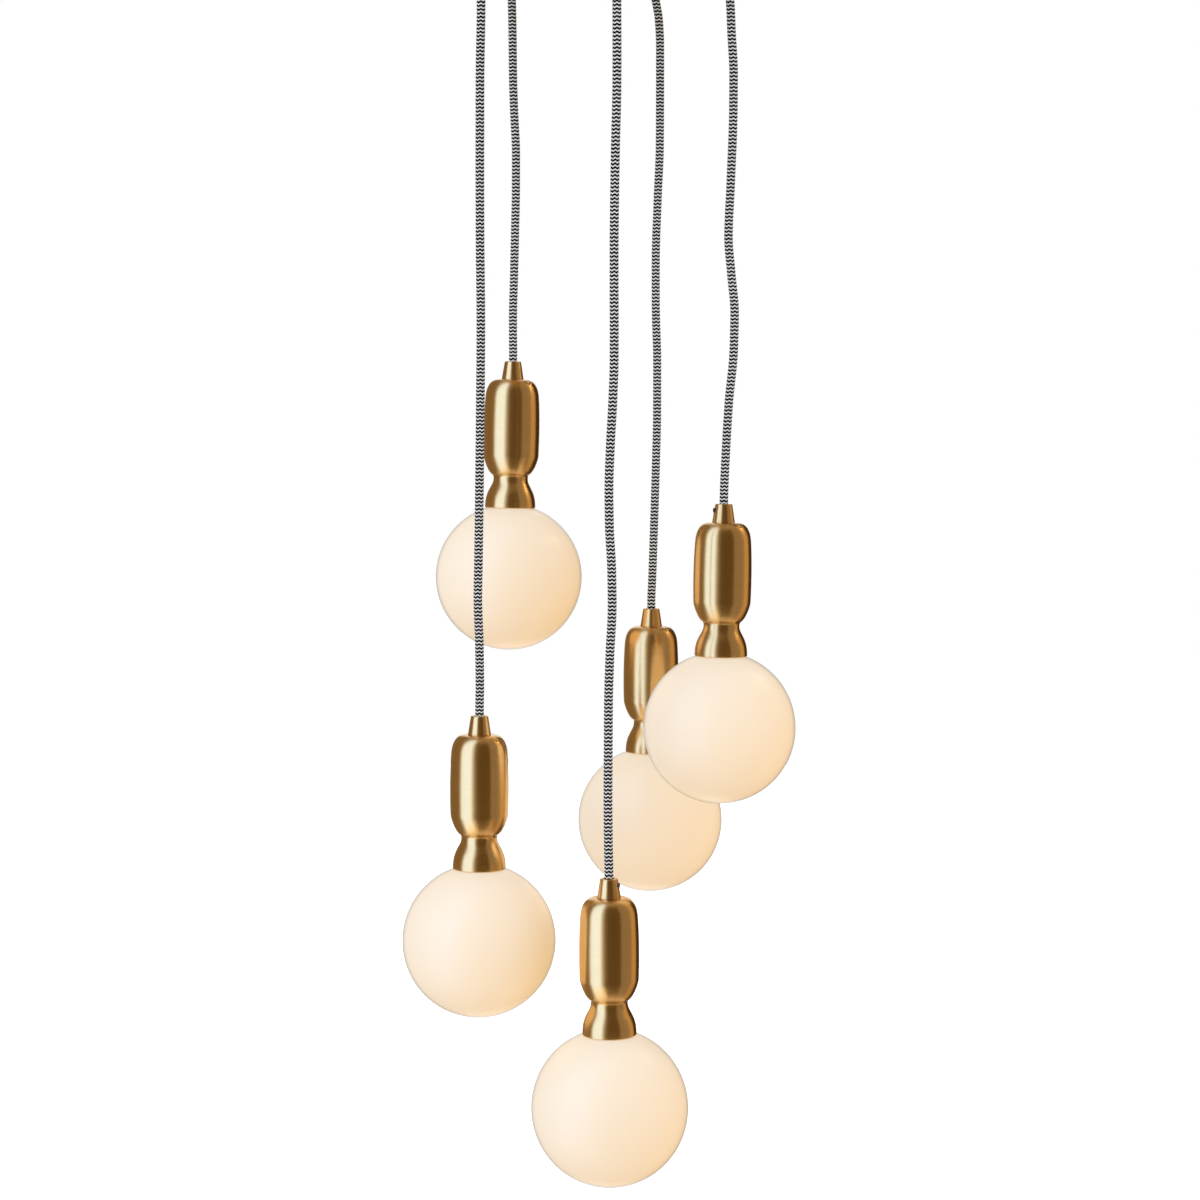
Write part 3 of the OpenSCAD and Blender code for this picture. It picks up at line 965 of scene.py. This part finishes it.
@dataclass(frozen=True)
class GlobeGlass:
    """Opal glass of one bulb: a sphere whose neck ends in the screw cap."""

    radius: float = 0.0625
    wall: float = 0.0012
    neck_radius: float = 0.0125
    neck_top: float = 0.091
    root_radius: float = 0.020
    neck_edge: float = 0.001
    centre: float = GLOBE_CENTRE

    def build(self) -> bpy.types.Object:
        """Blows the globe as one closed wall."""
        root, edge, mouth = self.root_radius, self.neck_edge, self.neck_radius - self.wall
        rise = math.sqrt(self.radius**2 - root**2)
        slope = (-rise / self.radius, root / self.radius)
        start = math.degrees(math.atan2(rise, root))
        neck = bezier((root, rise), (root + 0.0046 * slope[0], rise + 0.0046 * slope[1]),
                      (self.neck_radius + 0.0009, rise + 0.0045), (self.neck_radius + 0.0007, rise + 0.0105), 12)
        lining = moved_in(neck, -self.wall)
        inner = self.radius - self.wall
        turn = math.degrees(math.asin(lining[0][0] / inner))
        outline = joined(
            arc((0.0, 0.0), self.radius, -90, start, 72), neck, [(self.neck_radius, self.neck_top - edge)],
            [(self.neck_radius - 0.4 * edge, self.neck_top), (mouth + 0.4 * edge, self.neck_top)],
            [(mouth, self.neck_top - edge)], reversed(lining[1:]),
            arc((0.0, 0.0), inner, 90 - turn, -90, 36)
        )
        return lathe("globe_pattern", [(x, z + self.centre) for x, z in outline])


@dataclass(frozen=True)
class TextileCord:
    """One free cord from the canopy's grip to the lamp's grip."""

    exit: Triple
    end: Triple
    way: Triple
    route: tuple[Triple, ...]
    radius: float = 0.0035
    inset: float = 0.001
    top_run: float = 0.002
    end_run: float = 0.008
    spacing: float = 0.0035
    sides: int = 24

    def bends(self) -> list[Vector]:
        """The points that the cord passes, as in the solids."""
        first, end, way = Vector(self.exit), Vector(self.end), Vector(self.way)
        fall = first.z - end.z
        middle = [first + Vector((x, y, -fall * share / 100)) for x, y, share in self.route]
        top = first - Vector((0, 0, self.inset + self.top_run))
        return [first, top, *middle, end - way * (self.inset + self.end_run), end]

    def line(self) -> list[Vector]:
        """The smooth line through its bends, with even steps."""
        bends = self.bends()
        heights = np.array([p.z for p in bends])[::-1]
        steps = max(2, round((heights[-1] - heights[0]) / self.spacing))
        levels = np.linspace(heights[-1], heights[0], steps + 1)
        sides = []
        for axis in (0, 1):
            values = np.array([p[axis] for p in bends])[::-1]
            sides.append(self.smooth(levels, heights, values))
        return [Vector((float(x), float(y), float(z))) for x, y, z in zip(*sides, levels)]

    @staticmethod
    def smooth(at: np.ndarray, knots: np.ndarray, values: np.ndarray) -> np.ndarray:
        """A curve through the knots that never swings past them.

        Args:
            at: where it is read.
            knots: rising places of the knots.
            values: the values there.

        Returns:
            The values on the curve.
        """
        gaps = np.diff(knots)
        rises = np.diff(values) / gaps
        slopes = np.zeros_like(values)
        for k in range(1, len(knots) - 1):
            if rises[k - 1] * rises[k] > 0:
                w1, w2 = 2 * gaps[k] + gaps[k - 1], gaps[k] + 2 * gaps[k - 1]
                slopes[k] = (w1 + w2) / (w1 / rises[k - 1] + w2 / rises[k])
        slopes[0], slopes[-1] = rises[0], rises[-1]
        k = np.clip(np.searchsorted(knots, at) - 1, 0, len(gaps) - 1)
        t = (at - knots[k]) / gaps[k]
        return (
            (1 + 2 * t) * (1 - t) ** 2 * values[k] + t * (1 - t) ** 2 * gaps[k] * slopes[k]
            + t * t * (3 - 2 * t) * values[k + 1] + t * t * (t - 1) * gaps[k] * slopes[k + 1]
        )

    def build(self, name: str) -> tuple[bpy.types.Object, list[Vector]]:
        """Sweeps the round braid along its line.

        Args:
            name: the piece's name.

        Returns:
            The cord as a mesh, and its line.
        """
        line = self.line()
        piece = sweep(name, line, self.radius, self.sides)
        self.mark_wrap(piece, line)
        return piece, line

    def mark_wrap(self, piece: bpy.types.Object, line: Sequence[Vector]) -> None:
        """Stores the direction round the cord and the length along it, for the braid.

        Args:
            piece: the cord's mesh.
            line: its line from the top down.
        """
        places = points_of(piece)
        path = np.array([tuple(p) for p in line])
        lengths = lengths_along(path)
        levels = path[::-1, 2]
        centre_x = np.interp(places[:, 2], levels, path[::-1, 0])
        centre_y = np.interp(places[:, 2], levels, path[::-1, 1])
        along = np.interp(places[:, 2], levels, lengths[::-1])
        wrap = np.column_stack([places[:, 0] - centre_x, places[:, 1] - centre_y, along])
        wrap[:, :2] /= self.radius
        store(piece, Mark.WRAP, wrap)


# Bends of cords 1 to 5: how far right and back of its upper end each point is, and how far down the fall, in percent
ROUTES: tuple[tuple[Triple, ...], ...] = (
    (
        (0, 0, 2.1), (0.0005, 0, 14.2), (-0.0005, 0, 22.5), (-0.001, 0.0005, 31.1), (-0.0005, 0.001, 43.7),
        (-0.0015, 0.0005, 48.6), (-0.003, 0, 52.7), (-0.004, 0, 57.5), (-0.0035, 0, 61.6), (-0.0015, 0.0005, 66.4),
        (-0.001, 0.0005, 70.5), (-0.0025, 0, 75.3), (-0.0035, 0, 81.5), (-0.0035, 0, 89.8), (-0.003, 0, 95.9),
    ),
    (
        (0.0012, 0, 2.9), (0.0036, 0, 6.3), (0.005, 0, 12), (0.007, 0, 20.4), (0.007, 0, 26.2), (0.0055, 0.001, 39.5),
        (0.004, 0.001, 49.7), (0.0065, 0.0005, 56.6), (0.0095, 0, 64.2), (0.009, 0, 71.1), (0.0055, 0, 80.5),
        (0.0028, 0, 93),
    ),
    (
        (0.0015, 0, 2.2), (0.0035, 0, 4.5), (0.0047, 0, 9), (0.005, 0, 24.5), (0.0035, 0.0005, 33.2),
        (0.0022, 0.001, 43), (0.0025, 0.001, 50.5), (0.004, 0.0005, 59.4), (0.0042, 0, 68), (0.0035, 0, 76),
        (0.002, 0, 87.8), (0.0008, 0, 95.7),
    ),
    (
        (0.0008, 0, 3.6), (0.0012, 0, 7.5), (0.0015, 0, 12), (0.002, 0, 23.3), (0.003, 0.0005, 32.8),
        (0.0047, 0.001, 44.5), (0.0047, 0.001, 53), (0.004, 0.0005, 66), (0.0033, 0, 77.1), (0.0025, 0, 88),
        (0.0026, 0, 94.5),
    ),
    (
        (0.0005, 0, 2.6), (0.0018, 0, 6), (0.001, 0, 16), (0.001, 0.0005, 26.2), (0.0012, 0.001, 36),
        (0.002, 0.0008, 48), (0.0015, 0, 62), (0.0005, 0, 78.1), (0, 0, 84.2), (0.0013, 0, 90.5), (0.0017, 0, 96),
    ),
)

# Where the set screws of lamps 1 to 5 point, in degrees from the right towards the back
SCREW_TURNS: tuple[float, ...] = (-14.0, 194.0, 100.0, 80.0, 100.0)


@dataclass
class Pendant:
    """One lamp on its cord."""

    number: int
    exit: Triple
    end: Triple
    way: Triple
    route: tuple[Triple, ...]
    screw_turn: float
    finishes: Finishes
    nodes: dict[str, bpy.types.Object]
    fixture: str = "fixture"
    bend_length: float = 0.05

    @property
    def place(self) -> Matrix:
        """Where the lamp's own frame stands: it starts where the cord bends and hangs down."""
        lean = math.atan2(-self.way[0], -self.way[2])
        return Matrix.Translation(self.end) @ Matrix.Rotation(lean, 4, "Y")

    def hang_cord(self) -> None:
        """Hangs the textile cord from the canopy's grip to the lamp's grip."""
        cord = TextileCord(self.exit, self.end, self.way, self.route)
        name = f"textile_cord_{self.number}"
        piece, line = cord.build(name)
        dress(piece, self.finishes.textile)
        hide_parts(f"cord_{self.number}")
        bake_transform(piece)

    def add(self, pattern: bpy.types.Object, name: str, node: str, body: str, slot: Slot,
            finish: bpy.types.Material) -> None:
        """Copies a pattern into the lamp and lets it ride on its body.

        Args:
            pattern: the piece in the lamp's own frame.
            name: name of the copy, without the lamp's number.
            node: the CAD node that it stands for, without the number.
            body: the body that it rides on, without the number.
            slot: the record's material slot; not used.
            finish: its material.
        """
        piece = placed_copy(pattern, f"{name}_{self.number}", self.place)
        dress(piece, finish)
        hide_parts(f"{node}_{self.number}")
        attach(piece, f"{body}_{self.number}")
        LOG.info("%s: %d faces", piece.name, len(piece.data.polygons))

    def dress_nodes(self) -> None:
        """Gives the lamp's inner CAD nodes their finishes."""
        finish = {
            "grip_fasteners": self.finishes.dark_steel, "lampholder": self.finishes.insulator,
            "holder_contacts": self.finishes.contact, "bulb_cap": self.finishes.cap, "bulb_core": self.finishes.core,
        }
        for node, material in finish.items():
            dress(self.nodes[f"{node}_{self.number}"], material)


@dataclass
class Canopy:
    """The round canopy with its grips, bracket, screws and terminals."""

    finishes: Finishes
    nodes: dict[str, bpy.types.Object]
    exits: Sequence[Triple]
    radius: float = 0.14
    height: float = 0.032
    wall: float = 0.0012
    bend: float = 0.005
    edge: float = 0.0003
    floor_rings: tuple[float, ...] = (0.0, 0.02, 0.05, 0.085, 0.12)
    stem: float = 0.0077
    stem_hole: float = 0.0052
    side_screw_z: float = -0.012
    side_hole: float = 0.00225
    set_screw_turn: float = 90.0
    tail_radius: float = 0.0035
    tail_sides: int = 20
    tail_start: float = 0.0019
    tail_level: float = -0.014
    tail_bend: float = 0.009
    tail_ends: tuple[Pair, ...] = ((0.017, -0.013), (0.034, -0.002), (0.027, 0.013), (0.010, 0.006), (0.010, -0.006))

    def spin_cover(self) -> None:
        """Spins the cover and drills the holes of the cords and side screws."""
        r, h, w, b, e = self.radius, self.height, self.wall, self.bend, self.edge
        outline = joined(
            [(x, -h) for x in self.floor_rings], arc((r - b, b - h), b, -90, 0, 16),
            [(r, -e), (r - e, 0.0), (r - w + e, 0.0), (r - w, -e)],
            arc((r - b, b - h), b - w, 0, -90, 8), [(0.0, w - h)]
        )
        cover = lathe("canopy_shell", outline, 160)
        drills = []
        for x, y, _ in self.exits:
            clear_selection()
            bpy.ops.mesh.primitive_cylinder_add(vertices=48, radius=self.stem_hole, depth=0.006, location=(x, y, -h))
            drills.append(bpy.context.object)
        for side in (-1, 1):
            clear_selection()
            bpy.ops.mesh.primitive_cylinder_add(
                vertices=32, radius=self.side_hole, depth=0.01, location=(side * r, 0, self.side_screw_z),
                rotation=(0, math.pi / 2, 0)
            )
            drills.append(bpy.context.object)
        drill = fuse(drills, "drills")
        bpy.ops.object.transform_apply(location=True, rotation=True, scale=True)
        drill_out(cover, drill, self.dense(outline), 30)
        self.fit(cover, "canopy_cover", Slot.BRASS, self.finishes.brass)

    @staticmethod
    def fit(piece: bpy.types.Object, node: str, slot: Slot, finish: bpy.types.Material) -> None:
        """Fits a new piece to the canopy, which never moves.

        Args:
            piece: the piece.
            node: the CAD node that it stands for.
            slot: the record's material slot; not used.
            finish: its material.
        """
        dress(piece, finish)
        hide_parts(node)
        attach(piece, "fixture")
        LOG.info("%s: %d faces", piece.name, len(piece.data.polygons))

    @staticmethod
    def dense(outline: Sequence[Pair]) -> list[Pair]:
        """The outline with points every two millimetres, to measure lengths along it.

        Args:
            outline: its corners.

        Returns:
            The corners and the points between them.
        """
        points: list[Pair] = []
        for a, b in zip(outline, outline[1:]):
            steps = max(1, round(math.dist(a, b) / 0.002))
            points += [(a[0] + (b[0] - a[0]) * k / steps, a[1] + (b[1] - a[1]) * k / steps) for k in range(steps)]
        return [*points, outline[-1]]

    def fit_grips(self, shape: CordGrip) -> None:
        """Screws the five grips under the cover, as one piece.

        Args:
            shape: the grip.
        """
        pattern = shape.build("canopy_grip_pattern", self.stem, self.set_screw_turn)
        copies = []
        for number, (x, y, _) in enumerate(self.exits, 1):
            upside_down = Matrix.Rotation(math.pi, 4, "X") @ Matrix.Rotation(math.pi, 4, "Z")
            place = Matrix.Translation((x, y, -self.height)) @ upside_down
            copies.append(placed_copy(pattern, f"canopy_grip_{number}", place))
        remove(pattern)
        grips = fuse(copies, "canopy_grip_set")
        self.fit(grips, "canopy_grips", Slot.BRASS, self.finishes.brass)

    def dress_nodes(self) -> None:
        """Gives the other CAD nodes of the canopy their finishes."""
        finish = {
            "ceiling_bracket": self.finishes.strap_steel, "canopy_screws": self.finishes.level_brass,
            "canopy_grip_screws": self.finishes.dark_steel, "canopy_nuts": self.finishes.plated_steel,
            "terminal_block": self.finishes.insulator, "terminal_screws": self.finishes.contact,
            "earth_screw": self.finishes.plated_steel,
        }
        for node, material in finish.items():
            dress(self.nodes[node], material)

    def lay_tails(self) -> None:
        """Lays the cords' tails from their grips to the terminal block."""
        run, elbow, low = self.tail_level, self.tail_bend, self.exits[0][2] + self.tail_start
        tails = []
        for number, ((x, y, _), end) in enumerate(zip(self.exits, self.tail_ends), 1):
            first = Vector((x, y, low))
            way = Vector((end[0] - x, end[1] - y, 0.0)).normalized()
            corner = Vector((x, y, run - elbow))
            bend = [
                corner + way * elbow * (1 - math.cos(a)) + Vector((0, 0, elbow * math.sin(a)))
                for a in np.linspace(0, math.pi / 2, 10)
            ]
            rise = self.between(first, corner, 6)[:-1]
            across = self.between(bend[-1], Vector((*end, run)), 24)[1:]
            tails.append(self.tail(f"cord_tail_{number}", [*rise, *bend, *across]))
        piece = fuse(tails, "cord_tail_set")
        self.fit(piece, "cord_tails", Slot.CORD_TEXTILE, self.finishes.textile)

    @staticmethod
    def between(start: Vector, end: Vector, steps: int) -> list[Vector]:
        """The points of a straight run, both ends included."""
        return [start + (end - start) * k / steps for k in range(steps + 1)]

    def tail(self, name: str, line: Sequence[Vector]) -> bpy.types.Object:
        """Sweeps one tail.

        Args:
            name: its name.
            line: its line from the grip to the block.

        Returns:
            The tail as a mesh, marked for the braid.
        """
        piece = sweep(name, line, self.tail_radius, self.tail_sides)
        path = np.array([tuple(p) for p in line])
        places = points_of(piece)
        near = np.argmin(np.linalg.norm(places[:, None] - path[None], axis=2), axis=1)
        ways = np.gradient(path, axis=0)
        ways /= np.linalg.norm(ways, axis=1)[:, None]
        side = np.cross(ways[0], ways[-1])
        away = places - path[near]
        out = np.cross(side, ways[near])
        wrap = np.column_stack([away @ side, np.einsum("ij,ij->i", away, out), lengths_along(path)[near]])
        wrap[:, :2] /= self.tail_radius
        store(piece, Mark.WRAP, wrap)
        return piece


@dataclass(frozen=True)
class Card:
    """A curved reflector card that only reflections see, between two bearings and two heights in degrees."""

    start: float
    end: float
    colour: Triple
    low: float = -60.0
    high: float = 60.0


@dataclass(frozen=True)
class SoftLamp:
    """A square lamp that lights the object and shows neither to the camera nor in reflections."""

    name: str
    place: Triple
    size: float
    power: float
    colour: Triple


@dataclass
class Studio:
    """Camera, lamps, reflector cards, white surroundings and floor."""

    camera_place: Triple = (0.0046, -1.976, -0.425)
    pitch: float = 3.91
    roll: float = 0.29
    lens: float = 71.76
    film: float = 36.0
    view_range: Pair = (0.05, 60.0)
    room_colour: Triple = (1.0, 0.985, 0.97)
    room_strength: float = 0.85
    floor_z: float = -2.9
    floor_size: float = 24.0
    floor_middle: Pair = (0.0, 4.0)
    floor_paint: Triple = (0.92, 0.92, 0.92)
    floor_lift: float = 0.72
    dome_radius: float = 2.0
    dome_z: float = -0.78
    dome_step: float = 4.0
    lamp_aim: Triple = (0.0, 0.0, -0.72)
    lamps: tuple[SoftLamp, ...] = (
        SoftLamp("key_lamp", (-1.9, -1.6, 0.35), 1.5, 20.0, (0.86, 0.94, 1.0)),
        SoftLamp("fill_lamp", (2.0, -1.2, 0.1), 1.8, 8.0, (1.0, 0.90, 0.80)),
        SoftLamp("top_lamp", (0.1, 0.6, 1.7), 1.6, 6.0, (1.0, 0.98, 0.95)),
    )
    cards: tuple[Card, ...] = (
        Card(-165, -81, (0.24, 0.17, 0.09)),
        Card(-81, -74, (0.60, 0.60, 0.55), -42, 76),
        Card(-74, -29, (1.16, 1.66, 3.1), -42, 76),
        Card(-29, -20, (0.62, 0.66, 0.66), -42, 76),
        Card(-20, -10, (0.20, 0.17, 0.13), -50, 66),
        Card(-10, 45, (0.125, 0.082, 0.036)),
        Card(45, 93, (0.31, 0.25, 0.19)),
        Card(93, 121, (0.60, 0.40, 0.19)),
        Card(121, 166, (0.055, 0.03, 0.012)),
        Card(-20, 281, (0.42, 0.34, 0.25), 60, 76),
        Card(117, 122, (55.0, 44.0, 28.0), 42, 47),
        Card(-180, 180, (0.40, 0.32, 0.23), 76, 90),
        Card(-180, 180, (0.36, 0.27, 0.17), -90, -60),
    )

    def set_camera(self) -> None:
        """Stands the camera where the photograph was taken."""
        clear_selection()
        bpy.ops.object.camera_add(location=self.camera_place)
        camera = bpy.context.object
        camera.name = "studio_camera"
        aim = Matrix.Rotation(math.radians(90 - self.pitch), 4, "X") @ Matrix.Rotation(math.radians(self.roll), 4, "Z")
        camera.rotation_euler = aim.to_euler()
        camera.data.lens = self.lens
        camera.data.sensor_width = self.film
        camera.data.sensor_fit = "HORIZONTAL"
        camera.data.clip_start, camera.data.clip_end = self.view_range
        bpy.context.scene.camera = camera

    def set_world(self) -> None:
        """Lights the room evenly and shows white behind the object."""
        world = bpy.data.worlds.new("white_room")
        bpy.context.scene.world = world
        board = NodeBoard(world.name, world)
        soft = board.add("ShaderNodeBackground", None, Color=self.room_colour, Strength=self.room_strength)
        white = board.add("ShaderNodeBackground", None, Color=WHITE, Strength=1.0)
        mix = board.add("ShaderNodeMixShader", None, in0=board.looked_at(), in1=soft.outputs[0], in2=white.outputs[0])
        board.add("ShaderNodeOutputWorld", None, in0=mix.outputs[0])

    def lay_floor(self) -> None:
        """Lays the pale floor, which keeps the object's shadow and looks white to the camera and in reflections."""
        clear_selection()
        bpy.ops.mesh.primitive_plane_add(size=self.floor_size, location=(*self.floor_middle, self.floor_z))
        floor = bpy.context.object
        floor.name = "studio_floor"
        bpy.ops.object.transform_apply(location=True, rotation=True, scale=True)
        board = NodeBoard("pale_floor")
        paint = board.add("ShaderNodeBsdfDiffuse", None, Color=self.floor_paint)
        strength = board.math("MULTIPLY", board.looked_at(), self.floor_lift)
        lift = board.add("ShaderNodeEmission", None, Color=WHITE, Strength=strength)
        both = board.add("ShaderNodeAddShader", None, in0=paint.outputs[0], in1=lift.outputs[0])
        dress(floor, board.finish(both))

    def stand_cards(self) -> None:
        """Stands the reflector cards round the object as parts of one dome."""
        for number, card in enumerate(self.cards, 1):
            piece = self.cut_card(card, f"reflector_card_{number}")
            board = NodeBoard(f"card_{number}")
            dress(piece, board.finish(board.add("ShaderNodeEmission", None, Color=card.colour, Strength=1.0)))
            for ray in ("camera", "diffuse", "transmission", "volume_scatter", "shadow"):
                setattr(piece, f"visible_{ray}", False)

    def cut_card(self, card: Card, name: str) -> bpy.types.Object:
        """Cuts one card out of the dome.

        Args:
            card: its bearings and heights.
            name: its name.

        Returns:
            The card.
        """
        bearing = math.radians(card.start - 90)
        across, along = self.dome_radius * math.cos(bearing), self.dome_radius * math.sin(bearing)
        steps = max(2, round((card.high - card.low) / self.dome_step))
        rises = [math.radians(card.low + (card.high - card.low) * k / steps) for k in range(steps + 1)]
        edge = [
            Vector((across * math.cos(rise), along * math.cos(rise), self.dome_z + self.dome_radius * math.sin(rise)))
            for rise in rises
        ]
        clear_selection()
        bpy.ops.mesh.primitive_plane_add(size=0.002, location=edge[0])
        piece = bpy.context.object
        piece.name = name
        bpy.ops.object.transform_apply(location=True, rotation=True, scale=True)
        bpy.ops.object.mode_set(mode="EDIT")
        bpy.ops.mesh.select_all(action="SELECT")
        bpy.ops.mesh.merge(type="CENTER")
        for before, after in zip(edge, edge[1:]):
            bpy.ops.mesh.extrude_region_move(TRANSFORM_OT_translate={"value": tuple(after - before)})
        bpy.ops.mesh.select_all(action="SELECT")
        turn = math.radians(card.start - card.end)
        parts = max(4, round(abs(math.degrees(turn)) / self.dome_step))
        bpy.ops.mesh.spin(steps=parts, angle=turn, center=(0, 0, 0), axis=(0, 0, 1))
        bpy.ops.mesh.select_all(action="SELECT")
        bpy.ops.mesh.remove_doubles(threshold=1e-5)
        bpy.ops.object.mode_set(mode="OBJECT")
        return piece

    def hang_lamps(self) -> None:
        """Hangs the soft lamps."""
        for soft in self.lamps:
            clear_selection()
            bpy.ops.object.light_add(type="AREA", location=soft.place)
            lamp = bpy.context.object
            lamp.name = soft.name
            lamp.data.shape = "SQUARE"
            lamp.data.size = soft.size
            lamp.data.energy = soft.power
            lamp.data.color = soft.colour
            aim = Vector(self.lamp_aim) - Vector(soft.place)
            lamp.rotation_euler = aim.to_track_quat("-Z", "Y").to_euler()
            lamp.visible_camera = False
            lamp.visible_glossy = False

    def build(self) -> None:
        """Sets the whole studio up."""
        self.set_world()
        self.lay_floor()
        self.stand_cards()
        self.hang_lamps()
        bpy.context.scene.view_settings.view_transform = "Standard"


def joint(frame: dict[str, Any], name: str) -> dict[str, Any]:
    """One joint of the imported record.

    Args:
        name: the joint's name.

    Returns:
        The joint.
    """
    return next(j for j in frame["record"]["behaviour"]["joints"] if j["name"] == name)


def main() -> None:
    """Builds the chandelier's looks in order."""
    logging.basicConfig(level=logging.INFO, format="%(name)s %(message)s")
    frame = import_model()
    nodes = frame["nodes"]
    studio = Studio()
    studio.set_camera()
    finishes = Finishes.build()
    pendants = [
        Pendant(
            number=n, exit=tuple(joint(frame, f"swing_{n}")["pos_m"]), end=tuple(joint(frame, f"rock_{n}")["pos_m"]),
            way=tuple(joint(frame, f"bulb_{n}_turn")["axis"]), route=ROUTES[n - 1], screw_turn=SCREW_TURNS[n - 1],
            finishes=finishes, nodes=nodes
        )
        for n in range(1, len(ROUTES) + 1)
    ]
    for pendant in pendants:
        pendant.hang_cord()
    shell = HolderShell()
    glass = GlobeGlass()
    patterns = (
        (shell.barrel(), "barrel_shell", "barrel", "lamp", Slot.BRASS, finishes.brass),
        (shell.collar(), "bell_collar", "collar", "lamp", Slot.BRASS, finishes.brass),
        (glass.build(), "opal_globe", "globe", "bulb", Slot.OPAL_GLASS, finishes.opal),
    )
    for pattern, name, node, body, slot, finish in patterns:
        for pendant in pendants:
            pendant.add(pattern, name, node, body, slot, finish)
        remove(pattern)
    shape = CordGrip()
    for pendant in pendants:
        pattern = shape.build("grip_pattern", shape.lamp_stem, pendant.screw_turn)
        raised = placed_copy(pattern, "raised_grip", Matrix.Translation((0, 0, shell.top)))
        pendant.add(raised, "tapered_grip", "cord_grip", "lamp", Slot.BRASS, finishes.brass)
        remove(pattern)
        remove(raised)
        pendant.dress_nodes()
    canopy = Canopy(finishes, nodes, [pendant.exit for pendant in pendants])
    canopy.spin_cover()
    canopy.fit_grips(shape)
    canopy.lay_tails()
    canopy.dress_nodes()
    studio.build()
    clear_selection()


if __name__ == "__main__":
    main()
